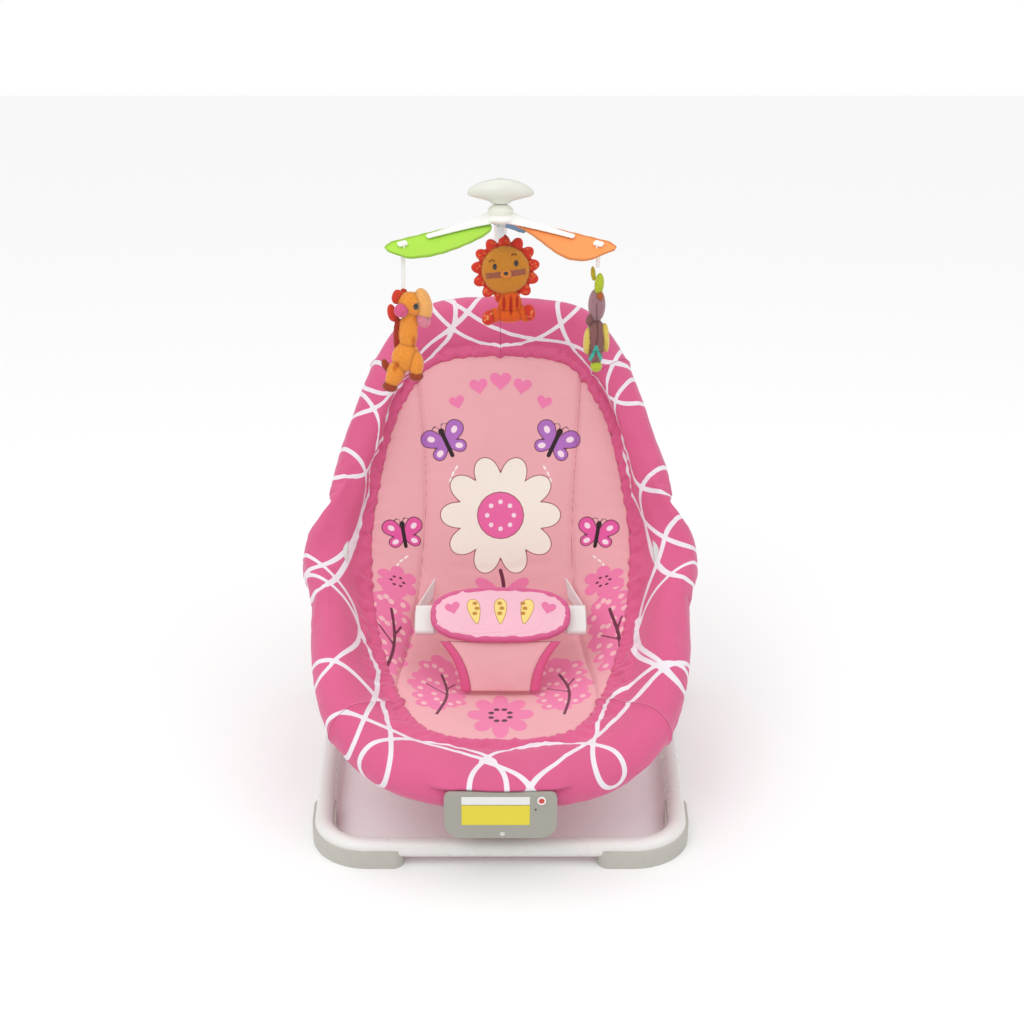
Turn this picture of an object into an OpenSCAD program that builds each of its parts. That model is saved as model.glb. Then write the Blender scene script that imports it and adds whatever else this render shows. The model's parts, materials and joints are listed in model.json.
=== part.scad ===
// Baby bouncer seat with a vibration unit under its front rim and a spinning toy mobile over its back.
// Millimetres. X runs across the seat, +Y from the feet end to the head end, +Z up.
// The origin is on the floor, under the middle of the whole object.

/* [Base] */
// Outside diameter of the floor tube
base_tube_d = 20; // [18:1:22]
// Wall of every steel tube
tube_wall = 1.2; // [1:0.1:1.5]
// Width over the floor loop at its front
base_front_w = 403; // [395:2:411]
// Width over the floor loop at its rear
base_rear_w = 471; // [463:2:473]
// Length of the floor loop
base_l = 504; // [504:2:512]
// Height of the floor tube's underside
base_lift = 9; // [8:0.5:10]

/* [Seat] */
// Distance of the side hubs behind the floor loop's front corners
hub_y = 251; // [249:0.5:253]
// Height of the side hubs
hub_z = 230; // [228:0.5:232]
// Slope of the backrest from the floor
back_angle = 56.5; // [55:0.5:58]
// Slope of the seat's side rims from the floor
seat_angle = 23; // [22.5:0.5:23.5]
// Thickness of the padded rim of the backrest
back_roll_d = 52; // [48:1:54]
// Thickness of the padded rim of the seat
seat_roll_d = 44; // [40:1:46]

/* [Vibration unit] */
// Width of the unit
unit_w = 116; // [112:1:120]
// Height of its front cover
unit_h = 52; // [50:1:54]
// Diameter of the push button
button_d = 9.3; // [8.5:0.1:10]

/* [Mobile] */
// Distance of the mobile's turning axis behind the floor loop's front corners
mobile_y = 205; // [200:1:210]
// Height of the spider's hub
mobile_z = 650; // [645:1:655]
// Reach of each wing from the turning axis
wing_reach = 140; // [136:1:144]
// Droop of each wing from level
wing_droop = 10; // [9:0.5:11]
// Tilt of the two front leaves about their arms, front edge down, in degrees
wing_pitch = 32; // [26:2:36]
// Distance from the turning axis to each toy ribbon
toy_reach = 119; // [116:1:121]

/* [Hidden] */
$fn = 48;

// The object reaches from the button's face to the mast's pivot boss, and its middle is Y = 0
front_end = -85.3;
mast_y = 476;
mast_boss_r = 11;
middle_y = (front_end + mast_y + mast_boss_r) / 2;

// Floor loop, along the tube's centreline
tube_r = base_tube_d / 2;
tube_z = base_lift + tube_r;
front_x = base_front_w / 2 - tube_r;
rear_x = base_rear_w / 2 - tube_r;
front_bar_y = tube_r - 58;
rear_bar_y = front_bar_y + base_l - base_tube_d;
loop_bend = 54;
corner_front = [front_x, front_bar_y];
corner_rear = [rear_x, rear_bar_y];
loop_seam = 0.3;
loop_points = [
    [-loop_seam, rear_bar_y], [-corner_rear[0], corner_rear[1]], [-corner_front[0], corner_front[1]],
    corner_front, corner_rear, [loop_seam, rear_bar_y]
];
loop_bends = [0, loop_bend, loop_bend, loop_bend, loop_bend, 0];
collar_gap = 0.3;
collar_half = 1;
collar_lip = 0.05;
foot_along_front = 116;
foot_along_side = 35;
foot_wall = 2.6;
foot_top = tube_z + 1;

// Arm roots and hub axis
arm_x = 219;
arm_d = 14;
pivot_y = 345;
pivot_z = 50;
pin_r = 4;
running_gap = 0.05;
clamp_half = 13.5;
eye_half = 7.5;
cheek_gap = 0.3;
eye_r = 11;
hub_r = 28;
hub_bolt_r = 5;
back_hub_x = [186, 197.7];
seat_hub_x = [198, 211];
boss_x = [211, 229];
frame_d = 12;

// Frame outlines in their own planes, as distances across and along from the hub axis
frame_start = hub_r + 0.05;
roll_start = 36;
seat_frame_x = 204.5;
back_frame_x = 191.85;
seat_corner_1 = [182, 215];
seat_corner_2 = [125, 333];
back_corner_1 = [148, 215];
back_corner_2 = [104, 322];
seat_bends = [0, 110, 80, 80, 110, 0];
back_bends = [0, 90, 60, 60, 90, 0];

// Restraint: the waist pad's middle and slope
pad_y = 159;
pad_z = 193;
pad_slope = 41;
pad_w = 157;
pad_depth = 66;
pad_t = 12;
panel_foot = [122, 117.4];
panel_slope = 74;
buckle_z = -5.5;
receiver_x = [78, 100];
receiver_w = 37;
slot_w = 28.6;
webbing_w = 25;
webbing_t = 1.4;

// Vibration unit: its cover stands in front of the padded rim, its housing hangs below the rim
unit_face_y = -84;
cover_depth = 6;
unit_bottom = 54;
housing_top = 77.5;
housing_back = -32;
shell_wall = 1.8;
button_x = 42;
button_z = 98.9;
battery_r = 7.1;
battery_l = 50.5;
cell_z = 66;
motor_y = -52;
motor_r = 7.5;
motor_shaft_r = 1;

// Mast and mobile
mast_d = 20;
mast_pivot_z = 468;
mast_top_z = 642;
boom_end = [-22, 674];
hood_z = 676;
hood_split = 671;
spindle_r = 3;
spider_t = 2.2;
wing_t = 2.4;
ribbon_w = 8;
ribbon_t = 1.2;

// ---------- helpers ----------

module placed() {
    translate([0, -middle_y, 0]) children();
}

module both_sides() {
    children();
    mirror([1, 0, 0]) children();
}

// A plane through the hub axis: local Y climbs towards the head end
module back_plane() {
    translate([0, hub_y, hub_z]) rotate([back_angle, 0, 0]) children();
}

// A plane through the hub axis: local -Y falls towards the feet end
module seat_plane() {
    translate([0, hub_y, hub_z]) rotate([seat_angle, 0, 0]) children();
}

module pad_plane() {
    translate([0, pad_y, pad_z]) rotate([pad_slope, 0, 0]) children();
}

// A vertical plane at x: local X runs along +Y and local Y runs up
module side_plane(x) {
    translate([x, 0, 0]) rotate([90, 0, 90]) children();
}

function heading(v) = atan2(v[1], v[0]);
function unit(v) = v / norm(v);
function turn_at(p, i) =
    let(a = p[i] - p[i - 1], b = p[i + 1] - p[i])
    atan2(a[0] * b[1] - a[1] * b[0], a * b);
function trim_at(p, i, bend) = bend * abs(tan(turn_at(p, i) / 2));

// A round rod along a bent path in the XY plane. Straights and bends stop a little short of each
// other, inside a short collar that is wider by a hair, and open ends can be drawn past the path.
module rod(p, bends, r, past = 0) {
    n = len(p);
    for (i = [0 : n - 2]) {
        along = unit(p[i + 1] - p[i]);
        cut_a = i == 0 ? -past : trim_at(p, i, bends[i]) + collar_gap;
        cut_b = i == n - 2 ? -past : trim_at(p, i + 1, bends[i + 1]) + collar_gap;
        start = p[i] + along * cut_a;
        translate([start[0], start[1], 0])
            rotate([0, 0, heading(along)])
                bar_x(0, norm(p[i + 1] - p[i]) - cut_a - cut_b, r);
    }
    for (i = [1 : n - 2])
        bend_of(p[i], unit(p[i] - p[i - 1]), turn_at(p, i), bends[i], r);
}

module bend_of(corner, along, turn, bend, r) {
    trim = bend * abs(tan(turn / 2));
    centre = corner - along * trim + sign(turn) * bend * [-along[1], along[0]];
    first = turn > 0 ? heading(along) - 90 : heading(along) + 90 + turn;
    short = collar_gap / bend * 180 / PI;
    translate([centre[0], centre[1], 0]) {
        rotate([0, 0, first + short])
            rotate_extrude(angle = abs(turn) - 2 * short)
                translate([bend, 0])
                    circle(r);
        for (end = [first, first + abs(turn)])
            rotate([0, 0, end])
                translate([bend, 0, 0])
                    bar_y(-collar_half, collar_half, r + collar_lip);
    }
}

module tube(p, bends, d, wall) {
    difference() {
        rod(p, bends, d / 2);
        rod(p, bends, d / 2 - wall, past = 1);
    }
}

function arch(hub_x, start, c1, c2) = [
    [hub_x, start], c1, c2, [-c2[0], c2[1]], [-c1[0], c1[1]], [-hub_x, start]
];

module rounded_rect(w, h, r) {
    square([w - 2 * r, h], center = true);
    square([w, h - 2 * r], center = true);
    for (x = [-1, 1])
        for (y = [-1, 1])
            translate([x * (w / 2 - r), y * (h / 2 - r)])
                circle(r);
}

// A cylinder along X from x = a to x = b
module bar_x(a, b, r) {
    translate([a, 0, 0]) rotate([0, 90, 0]) cylinder(h = b - a, r = r);
}

// A cylinder along Y from y = a to y = b
module bar_y(a, b, r) {
    translate([0, a, 0]) rotate([-90, 0, 0]) cylinder(h = b - a, r = r);
}

// A plump closed pad: the hull of balls of radius r
module pad_of(points, r) {
    hull()
        for (p = points)
            translate(p)
                sphere(r, $fn = 32);
}

// ---------- base ----------

// The floor tube, open by a hair at the weld in the middle of its rear bar
module base_tube() {
    color("white")
        placed()
            translate([0, 0, tube_z])
                tube(loop_points, loop_bends, base_tube_d, tube_wall);
}

module loop_rod() {
    translate([0, 0, tube_z]) rod(loop_points, loop_bends, tube_r, past = 1);
}

function side_point(y) = corner_front + (corner_rear - corner_front) * (y - corner_front[1])
    / (corner_rear[1] - corner_front[1]);

// Corner of the floor loop, as points at a distance from its centreline
foot_steps = 10;
function corner_edge(p, away) =
    let(
        a = unit(p[1] - p[0]), turn = turn_at(p, 1), trim = trim_at(p, 1, loop_bend),
        left = [-a[1], a[0]], b = unit(p[2] - p[1]),
        centre = p[1] - a * trim + sign(turn) * loop_bend * left,
        first = heading(a) - sign(turn) * 90, out_r = loop_bend + sign(turn) * away
    )
    concat(
        [p[0] - left * away],
        [
            for (i = [0 : foot_steps])
                let(at = first + turn * i / foot_steps)
                centre + out_r * [cos(at), sin(at)]
        ],
        [p[2] - [-b[1], b[0]] * away]
    );
function backwards(list) = [for (i = [len(list) - 1 : -1 : 0]) list[i]];

// Where a foot's two screws are, near its ends
function foot_screw_places(p) = [for (i = [0, 2]) p[i] + 9 * unit(p[1] - p[i])];

// A trough under one corner of the tube, flat on the floor
module foot(path) {
    half = tube_r + foot_wall;
    difference() {
        union() {
            linear_extrude(foot_top)
                polygon(concat(corner_edge(path, half), backwards(corner_edge(path, -half))));
            for (i = [0, 2])
                translate([path[i][0], path[i][1], 0])
                    cylinder(h = foot_top, r = half);
        }
        loop_rod();
        for (p = foot_screw_places(path))
            translate([p[0], p[1], -1])
                cylinder(h = 2.4, r = 3.4);
    }
}

front_foot_path = [[foot_along_front, front_bar_y], corner_front, side_point(foot_along_side)];
rear_foot_path = [side_point(rear_bar_y - 60), corner_rear, [foot_along_front + 20, rear_bar_y]];

module front_feet() {
    color("lightgray") placed() both_sides() foot(front_foot_path);
}

module rear_feet() {
    color("lightgray") placed() both_sides() foot(rear_foot_path);
}

module foot_screws() {
    color("silver")
        placed()
            both_sides()
                for (path = [front_foot_path, rear_foot_path])
                    for (p = foot_screw_places(path))
                        translate([p[0], p[1], 0.6]) {
                            cylinder(h = 0.8, r = 3.2);
                            cylinder(h = base_lift + 1.6, r = 1.4);
                        }
}

module arm_clamps() {
    color("lightgray")
        placed()
            both_sides()
                difference() {
                    union() {
                        translate([arm_x - clamp_half, pivot_y - 16, base_lift - 2])
                            cube([2 * clamp_half, 32, 29]);
                        translate([arm_x - clamp_half, pivot_y - eye_r, 30])
                            cube([2 * clamp_half, 2 * eye_r, pivot_z - 30]);
                        translate([0, pivot_y, pivot_z])
                            bar_x(arm_x - clamp_half, arm_x + clamp_half, eye_r);
                    }
                    loop_rod();
                    translate([arm_x - eye_half - cheek_gap, pivot_y - 20, 36])
                        cube([2 * (eye_half + cheek_gap), 40, 40]);
                    translate([0, pivot_y, pivot_z])
                        bar_x(arm_x - clamp_half - 1, arm_x + clamp_half + 1, pin_r);
                }
}

module arm_pins() {
    color("silver")
        placed()
            both_sides()
                translate([0, pivot_y, pivot_z]) {
                    bar_x(arm_x - clamp_half, arm_x + clamp_half, pin_r);
                    bar_x(arm_x + clamp_half, arm_x + clamp_half + 2, pin_r + 2);
                    bar_x(arm_x - clamp_half - 2, arm_x - clamp_half, pin_r + 2);
                }
}

// ---------- spring arms and hubs ----------

arm_path = [
    [pivot_y + 3.4, pivot_z + 9.8], [pivot_y + 42, pivot_z + 118],
    [hub_y + 19.3, hub_z - 5]
];

module spring_arms() {
    color("white")
        placed()
            both_sides() {
                difference() {
                    translate([0, pivot_y, pivot_z])
                        bar_x(arm_x - eye_half, arm_x + eye_half, eye_r);
                    translate([0, pivot_y, pivot_z])
                        bar_x(arm_x - 10, arm_x + 10, pin_r + running_gap);
                }
                side_plane(arm_x) tube(arm_path, [0, 62, 0], arm_d, tube_wall);
            }
}

module seat_hubs() {
    color("lightgray")
        placed()
            both_sides()
                difference() {
                    translate([0, hub_y, hub_z]) {
                        bar_x(seat_hub_x[0], seat_hub_x[1], hub_r);
                        bar_x(boss_x[0], boss_x[1], 19.9);
                        bar_x(boss_x[1], boss_x[1] + 3, 14);
                    }
                    translate([0, hub_y, hub_z])
                        bar_x(seat_hub_x[0] - 1, boss_x[1] + 5, hub_bolt_r);
                }
}

// The bolt is fast in the seat's hub, and the back's hub turns on it
module hub_bolts() {
    color("silver")
        placed()
            both_sides()
                translate([0, hub_y, hub_z]) {
                    bar_x(back_hub_x[0] - 4, boss_x[1] + 3, hub_bolt_r);
                    bar_x(back_hub_x[0] - 4, back_hub_x[0] - 0.3, hub_bolt_r + 4);
                }
}

module back_hubs() {
    color("gray")
        placed()
            both_sides()
                difference() {
                    translate([0, hub_y, hub_z])
                        bar_x(back_hub_x[0], back_hub_x[1], hub_r);
                    translate([0, hub_y, hub_z])
                        bar_x(back_hub_x[0] - 1, back_hub_x[1] + 1, hub_bolt_r + running_gap);
                }
}

// ---------- seat ----------

module seat_mirror() {
    seat_plane() mirror([0, 1, 0]) children();
}

function seat_arch(start) = arch(seat_frame_x, start, seat_corner_1, seat_corner_2);

module seat_frame() {
    color("white") placed() seat_mirror() tube(seat_arch(frame_start), seat_bends, frame_d, tube_wall);
}

module seat_roll() {
    color("hotpink") placed() seat_mirror() rod(seat_arch(roll_start), seat_bends, seat_roll_d / 2);
}

module seat_pan() {
    color("pink")
        placed()
            pad_of([
                for (x = [-1, 1])
                    for (p = [[92, -20, 108], [121, 10, 107], [150, 205, 96], [118, 236, 108]])
                        [x * p[0], p[1], p[2]]
            ], 9);
}

module seat_side() {
    pad_of([[195, 214, 172], [181, 82, 119], [171, 222, 104], [171, 82, 106]], 10);
}

module right_seat_side() {
    color("hotpink") placed() seat_side();
}

module left_seat_side() {
    color("hotpink") placed() mirror([1, 0, 0]) seat_side();
}

// ---------- restraint ----------

module crotch_panel() {
    color("pink")
        placed()
            translate([0, panel_foot[0], panel_foot[1]])
                rotate([panel_slope, 0, 0])
                    linear_extrude(7)
                        polygon([[-46, 0], [46, 0], [50, 20], [66, 54], [-66, 54], [-50, 20]]);
}

module waist_pad() {
    color("pink")
        placed()
            pad_plane()
                linear_extrude(pad_t)
                    rounded_rect(pad_w, pad_depth, 30);
}

// A strap's flat end, seen as a thin plate
module strap_end(x, y, z, tilt) {
    translate([x, y, z])
        rotate([tilt, 0, 0])
            cube([1.5, webbing_w, webbing_t], center = true);
}

module waist_straps() {
    color("white")
        placed()
            both_sides()
                hull() {
                    pad_plane()
                        translate([receiver_x[1] + 0.8, 0, buckle_z])
                            cube([1.5, webbing_w, webbing_t], center = true);
                    strap_end(108, 244, 186, 62);
                }
}

module buckle_plane() {
    pad_plane() translate([0, 0, buckle_z]) children();
}

module strap_receivers() {
    color("white")
        placed()
            both_sides()
                buckle_plane()
                    difference() {
                        translate([receiver_x[0], 0, 0])
                            rotate([90, 0, 90])
                                linear_extrude(receiver_x[1] - receiver_x[0])
                                    rounded_rect(receiver_w, 10, 4.5);
                        translate([receiver_x[0] - 1, -slot_w / 2, -3])
                            cube([17, slot_w, 6]);
                    }
}

// Base bar, middle guide and two springy prongs that reach into the receiver
module tongue() {
    translate([66.5, 0, 0])
        rotate([90, 0, 90])
            linear_extrude(11)
                rounded_rect(32, 8, 3.5);
    translate([77.5, -3, -1.5]) cube([14, 6, 3]);
    for (side = [-1, 1])
        translate([77.5, side * 11.4 - 1.7, -2]) {
            cube([11, 3.4, 4]);
            translate([11, 0, 0]) cube([3.5, 3.4, 4]);
        }
}

module right_tongue() {
    color("white") placed() buckle_plane() tongue();
}

module left_tongue() {
    color("white") placed() mirror([1, 0, 0]) buckle_plane() tongue();
}

module tail() {
    translate([20, -webbing_w / 2, -webbing_t / 2]) cube([46.5, webbing_w, webbing_t]);
}

module right_tail() {
    color("white") placed() buckle_plane() tail();
}

module left_tail() {
    color("white") placed() mirror([1, 0, 0]) buckle_plane() tail();
}

// ---------- vibration unit ----------

// The cover's outline: small radii at the top, large ones at the bottom
module cover_outline(inset) {
    w = unit_w - 2 * inset;
    h = unit_h - 2 * inset;
    low_r = 18 - inset;
    top_r = 6 - inset;
    translate([-w / 2 + low_r, inset]) square([w - 2 * low_r, h - top_r]);
    translate([-w / 2, inset + low_r]) square([w, h - low_r - top_r]);
    translate([-w / 2 + top_r, inset + h - top_r - 1]) square([w - 2 * top_r, top_r + 1]);
    for (x = [-1, 1]) {
        translate([x * (w / 2 - low_r), inset + low_r]) circle(low_r);
        translate([x * (w / 2 - top_r), inset + h - top_r]) circle(top_r);
    }
}

// Draws a shape of the XZ plane from y = a to y = b
module slab_y(a, b) {
    translate([0, b, unit_bottom])
        rotate([90, 0, 0])
            linear_extrude(b - a)
                children();
}

cover_back = unit_face_y + cover_depth;
button_r = button_d / 2;

module unit_front_cover() {
    color("silver")
        placed()
            difference() {
                slab_y(unit_face_y, cover_back) cover_outline(0);
                slab_y(unit_face_y + shell_wall, cover_back + 1) cover_outline(shell_wall);
                translate([button_x, 0, button_z])
                    bar_y(unit_face_y - 1, cover_back, button_r + 0.2);
                translate([36, 0, 88]) bar_y(unit_face_y - 1, cover_back, 1);
                translate([2, 0, 59.5]) bar_y(unit_face_y - 1, cover_back, 1.5);
            }
}

module unit_back_plate() {
    color("gray")
        placed()
            difference() {
                slab_y(cover_back, cover_back + 1) cover_outline(shell_wall);
                translate([-60, cover_back - 1, 40]) cube([120, 4, housing_top - 40]);
            }
}

module housing_outline(inset) {
    intersection() {
        cover_outline(inset);
        translate([-60, inset]) square([120, housing_top - unit_bottom - 2 * inset]);
    }
}

door_half = 30;
door_y = [-68, -40];

module unit_housing() {
    color("silver")
        placed()
            difference() {
                slab_y(cover_back, housing_back) housing_outline(0);
                slab_y(cover_back - 1, housing_back - shell_wall) housing_outline(shell_wall);
                translate([-door_half, door_y[0], unit_bottom - 1])
                    cube([2 * door_half, door_y[1] - door_y[0], 5]);
            }
}

module battery_door() {
    color("silver")
        placed()
            difference() {
                translate([0.2 - door_half, door_y[0] + 0.2, unit_bottom])
                    cube([2 * door_half - 0.4, door_y[1] - door_y[0] - 0.4, shell_wall]);
                translate([24, -54, unit_bottom - 1]) cylinder(h = 4, r = 1.5);
            }
}

// Clips that hold the unit to the seat's front tube, through the padding
module unit_clamps() {
    color("gray")
        placed()
            both_sides()
                difference() {
                    seat_plane()
                        translate([34, -seat_corner_2[1], 0])
                            bar_x(0, 14, frame_d / 2 + 3);
                    seat_plane()
                        translate([33, -seat_corner_2[1], 0])
                            bar_x(0, 16, frame_d / 2);
                }
}

module unit_screws() {
    color("silver")
        placed() {
            translate([2, 0, 59.5]) {
                bar_y(unit_face_y - 0.6, unit_face_y, 2.6);
                bar_y(unit_face_y, cover_back + 1.5, 1.5);
            }
            translate([24, -54, unit_bottom - 0.8]) {
                cylinder(h = 0.8, r = 2.6);
                cylinder(h = 3.8, r = 1.5);
            }
            for (x = [-44, 44])
                translate([x, 0, 66])
                    bar_y(housing_back, housing_back + 1, 2.6);
        }
}

module batteries() {
    color("black")
        placed()
            for (y = [-62, -45.5])
                translate([-17, y, cell_z]) {
                    bar_x(0, battery_l - 1.5, battery_r);
                    bar_x(battery_l - 1.5, battery_l, 2.7);
                }
}

module battery_contacts() {
    color("gold")
        placed()
            for (x = [-17.6, battery_l - 17])
                translate([x, -67, cell_z - 5])
                    cube([0.6, 26, 10]);
}

module motor() {
    color("silver")
        placed()
            translate([0, motor_y, cell_z]) {
                difference() {
                    union() {
                        bar_x(-50, -32, motor_r);
                        bar_x(-32, -30, 2.5);
                    }
                    bar_x(-39, -29, motor_shaft_r + 0.04);
                }
            }
}

// The shaft end and the lopsided weight that shakes the seat when it spins
module motor_weight() {
    color("goldenrod")
        placed()
            translate([0, motor_y, cell_z]) {
                bar_x(-38, -21, motor_shaft_r);
                intersection() {
                    bar_x(-28, -22, 7);
                    translate([-29, -8, -8]) cube([8, 16, 9]);
                }
            }
}

module circuit_board() {
    color("darkgreen")
        placed()
            translate([33, cover_back - 1.6, 84])
                cube([18, 1.2, 20]);
}

module indicator_light() {
    color("black")
        placed()
            translate([36, 0, 88])
                bar_y(unit_face_y - 0.4, cover_back - 1.6, 0.95);
}

// A blank yellow notice plate and a blank white one
module label_plates() {
    color("gold")
        placed() {
            translate([-40, unit_face_y - 0.4, 70]) cube([70, 0.4, 23]);
            translate([-40, unit_face_y - 0.4, 94]) cube([70, 0.4, 9]);
        }
}

module power_button() {
    color("red")
        placed()
            translate([button_x, 0, button_z]) {
                bar_y(front_end, unit_face_y + 2.6, button_r);
                bar_y(unit_face_y + 2.2, unit_face_y + 3, button_r + 0.5);
            }
}

// ---------- back ----------

function back_arch(start) = arch(back_frame_x, start, back_corner_1, back_corner_2);

module back_frame() {
    color("white") placed() back_plane() tube(back_arch(frame_start), back_bends, frame_d, tube_wall);
}

module back_roll() {
    color("hotpink") placed() back_plane() rod(back_arch(roll_start), back_bends, back_roll_d / 2);
}

module back_panel() {
    color("pink")
        placed()
            back_plane()
                pad_of([
                    for (x = [-1, 1])
                        for (p = [[150, -46, -41], [168, 20, -41], [130, 230, -38], [84, 291, -37]])
                            [x * p[0], p[1], p[2]]
                ], 9);
}

bracket_y = [458.5, 466];
cheek_x = [9, 15];

module mast_bracket() {
    color("lightgray")
        placed()
            difference() {
                union() {
                    translate([-24, bracket_y[0], mast_pivot_z - 22])
                        cube([48, bracket_y[1] - bracket_y[0], 52]);
                    for (side = [0, 1])
                        mirror([side, 0, 0]) {
                            translate([cheek_x[0], bracket_y[1] - 1, mast_pivot_z - 11])
                                cube([cheek_x[1] - cheek_x[0], mast_y - bracket_y[1] + 1, 22]);
                            translate([0, mast_y, mast_pivot_z])
                                bar_x(cheek_x[0], cheek_x[1], mast_boss_r);
                        }
                }
                translate([0, mast_y, mast_pivot_z])
                    bar_x(-30, 30, pin_r);
                translate([0, mast_y, mast_pivot_z])
                    bar_x(-cheek_x[0], cheek_x[0], mast_boss_r + 1);
                for (x = [-18, 18])
                    translate([x, 0, mast_pivot_z + 22])
                        bar_y(bracket_y[0] - 1, bracket_y[1] + 1, 2);
            }
}

module bracket_screws() {
    color("silver")
        placed()
            for (x = [-18, 18])
                translate([x, 0, mast_pivot_z + 22]) {
                    bar_y(bracket_y[0], bracket_y[1], 2);
                    bar_y(bracket_y[1], bracket_y[1] + 2, 3.6);
                }
}

module mast_pin() {
    color("silver")
        placed()
            translate([0, mast_y, mast_pivot_z]) {
                bar_x(-cheek_x[1], cheek_x[1], pin_r);
                bar_x(cheek_x[1], cheek_x[1] + 2, pin_r + 2);
                bar_x(-cheek_x[1] - 2, -cheek_x[1], pin_r + 2);
            }
}

// ---------- mast and hood ----------

mast_path = [
    [mast_y, mast_pivot_z + 9], [mast_y, mast_top_z],
    [mobile_y - boom_end[0], boom_end[1]]
];

module mast_tube() {
    color("white")
        placed() {
            difference() {
                translate([0, mast_y, mast_pivot_z])
                    bar_x(0.3 - cheek_x[0], cheek_x[0] - 0.3, mast_boss_r);
                translate([0, mast_y, mast_pivot_z])
                    bar_x(-20, 20, pin_r + running_gap);
            }
            side_plane(0) tube(mast_path, [0, 70, 0], mast_d - 3, 1.8);
        }
}

// A crowned cap with two swept side lobes
module hood_shape() {
    pad_of([[0, mobile_y, hood_z + 8], [0, mobile_y - 12, hood_z - 2], [0, mobile_y + 12, hood_z - 2]], 7.5);
    hull() {
        translate([0, mobile_y, hood_z - 1]) sphere(11, $fn = 32);
        for (x = [-1, 1])
            translate([x * 31.5, mobile_y + 4, hood_z + 2]) sphere(5, $fn = 32);
        translate([0, mobile_y + 26, hood_z - 3]) sphere(10, $fn = 32);
    }
}

module half_space(low, high) {
    translate([-60, mobile_y - 60, low]) cube([120, 140, high - low]);
}

module boom_hole() {
    translate([0, mobile_y - boom_end[0], boom_end[1]])
        rotate([-4, 0, 0])
            bar_y(-1, 40, mast_d / 2 - 1.5);
}

module hood_top() {
    color("gainsboro")
        placed()
            difference() {
                hood_shape();
                half_space(hood_split - 40, hood_split);
            }
}

module hood_base() {
    color("gainsboro")
        placed()
            difference() {
                hood_shape();
                half_space(hood_split, hood_split + 40);
                half_space(hood_split - 40, hood_split - 5);
                translate([0, mobile_y, hood_split - 20]) cylinder(h = 40, r = spindle_r);
            }
}

module hood_screws() {
    color("dimgray")
        placed()
            for (x = [-10, 10])
                translate([x, mobile_y, hood_z + 9.6])
                    cylinder(h = 3, r = 1.6);
}

// Fast in the hood; the spinner hangs on its head
module spindle() {
    color("silver")
        placed()
            translate([0, mobile_y, 0]) {
                translate([0, 0, mobile_z - 10]) cylinder(h = hood_split - mobile_z + 10, r = spindle_r);
            }
}

module spindle_nut() {
    color("silver")
        placed()
            translate([0, mobile_y, mobile_z - 10])
                difference() {
                    cylinder(h = 4, r = 5.5);
                    translate([0, 0, -1]) cylinder(h = 6, r = spindle_r);
                }
}

// ---------- spinner ----------

hub_low = mobile_z - 5.7;
hub_high = hood_split - 5.4;

module spinner_hub() {
    color("gainsboro")
        placed()
            translate([0, mobile_y, 0])
                rotate_extrude()
                    difference() {
                        union() {
                            translate([0, hub_low]) square([15, 6]);
                            intersection() {
                                translate([0, hub_low]) square([14, hub_high - hub_low]);
                                translate([0, hub_high - 17]) circle(17);
                            }
                        }
                        translate([0, hub_low - 1]) square([spindle_r + running_gap, 40]);
                    }
}

BEARINGS = [210, 330, 90];
PITCHES = [-wing_pitch, wing_pitch, 14];

// Arm number i of the mobile points along local +X, droops outwards and tilts about its length
module arm_frame(i) {
    translate([0, mobile_y, mobile_z])
        rotate([0, 0, BEARINGS[i]])
            rotate([0, wing_droop, 0])
                rotate([PITCHES[i], 0, 0])
                    children();
}

module spider() {
    color("white")
        placed()
            difference() {
                for (i = [0 : 2])
                    arm_frame(i)
                        translate([0, 0, 0.1])
                            linear_extrude(spider_t)
                                polygon([[11, -7], [60, -4.5], [92, -2.5], [92, 2.5], [60, 4.5], [11, 7]]);
                translate([0, mobile_y, mobile_z - 40]) cylinder(h = 80, r = 15);
            }
}

// Leaf outline: how far it reaches either side of its arm, wide on the low side
function leaf_low(u) = 5 + 26 * sin(180 * pow(u, 1.4)) + u;
function leaf_high(u) = 5 + 4.5 * u;
leaf_steps = 14;
leaf_root = 15.6;
function leaf_x(i) = leaf_root + (wing_reach - leaf_root) * i / leaf_steps;
leaf_low_edge = [for (i = [0 : leaf_steps]) [leaf_x(i), leaf_low(i / leaf_steps)]];
leaf_high_edge = [[leaf_x(leaf_steps), -leaf_high(1)], [leaf_x(0), -leaf_high(0)]];
slot_half = 6.2;

module wing(i) {
    arm_frame(i)
        translate([0, 0, -wing_t])
            difference() {
                linear_extrude(wing_t)
                    mirror([0, PITCHES[i] > 0 ? 1 : 0, 0])
                        polygon(concat(leaf_low_edge, leaf_high_edge));
                translate([toy_reach / cos(wing_droop) - 4.6, -slot_half, -1])
                    cube([9.2, 2 * slot_half, 10]);
            }
}

module left_wing() {
    color("yellowgreen") placed() wing(0);
}

module right_wing() {
    color("orange") placed() wing(1);
}

module rear_wing() {
    color("steelblue") placed() wing(2);
}

// ---------- toys ----------

ribbon_top = mobile_z - toy_reach * tan(wing_droop);

// A place on the mobile: x across the arm, y outwards, z up from the ribbon's top
module toy_frame(bearing) {
    translate([0, mobile_y, ribbon_top])
        rotate([0, 0, bearing - 90])
            translate([0, toy_reach, 0])
                children();
}

module ribbon(bearing, length) {
    toy_frame(bearing)
        translate([-ribbon_w / 2, -ribbon_t / 2, 0.6 - length])
            cube([ribbon_w, ribbon_t, length]);
}

left_toy_top = 47;
right_toy_top = 25;
rear_toy_top = 18;

module left_ribbon() {
    color("white") placed() ribbon(BEARINGS[0], left_toy_top);
}

module right_ribbon() {
    color("white") placed() ribbon(BEARINGS[1], right_toy_top);
}

module rear_ribbon() {
    color("white") placed() ribbon(BEARINGS[2], rear_toy_top);
}

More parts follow.
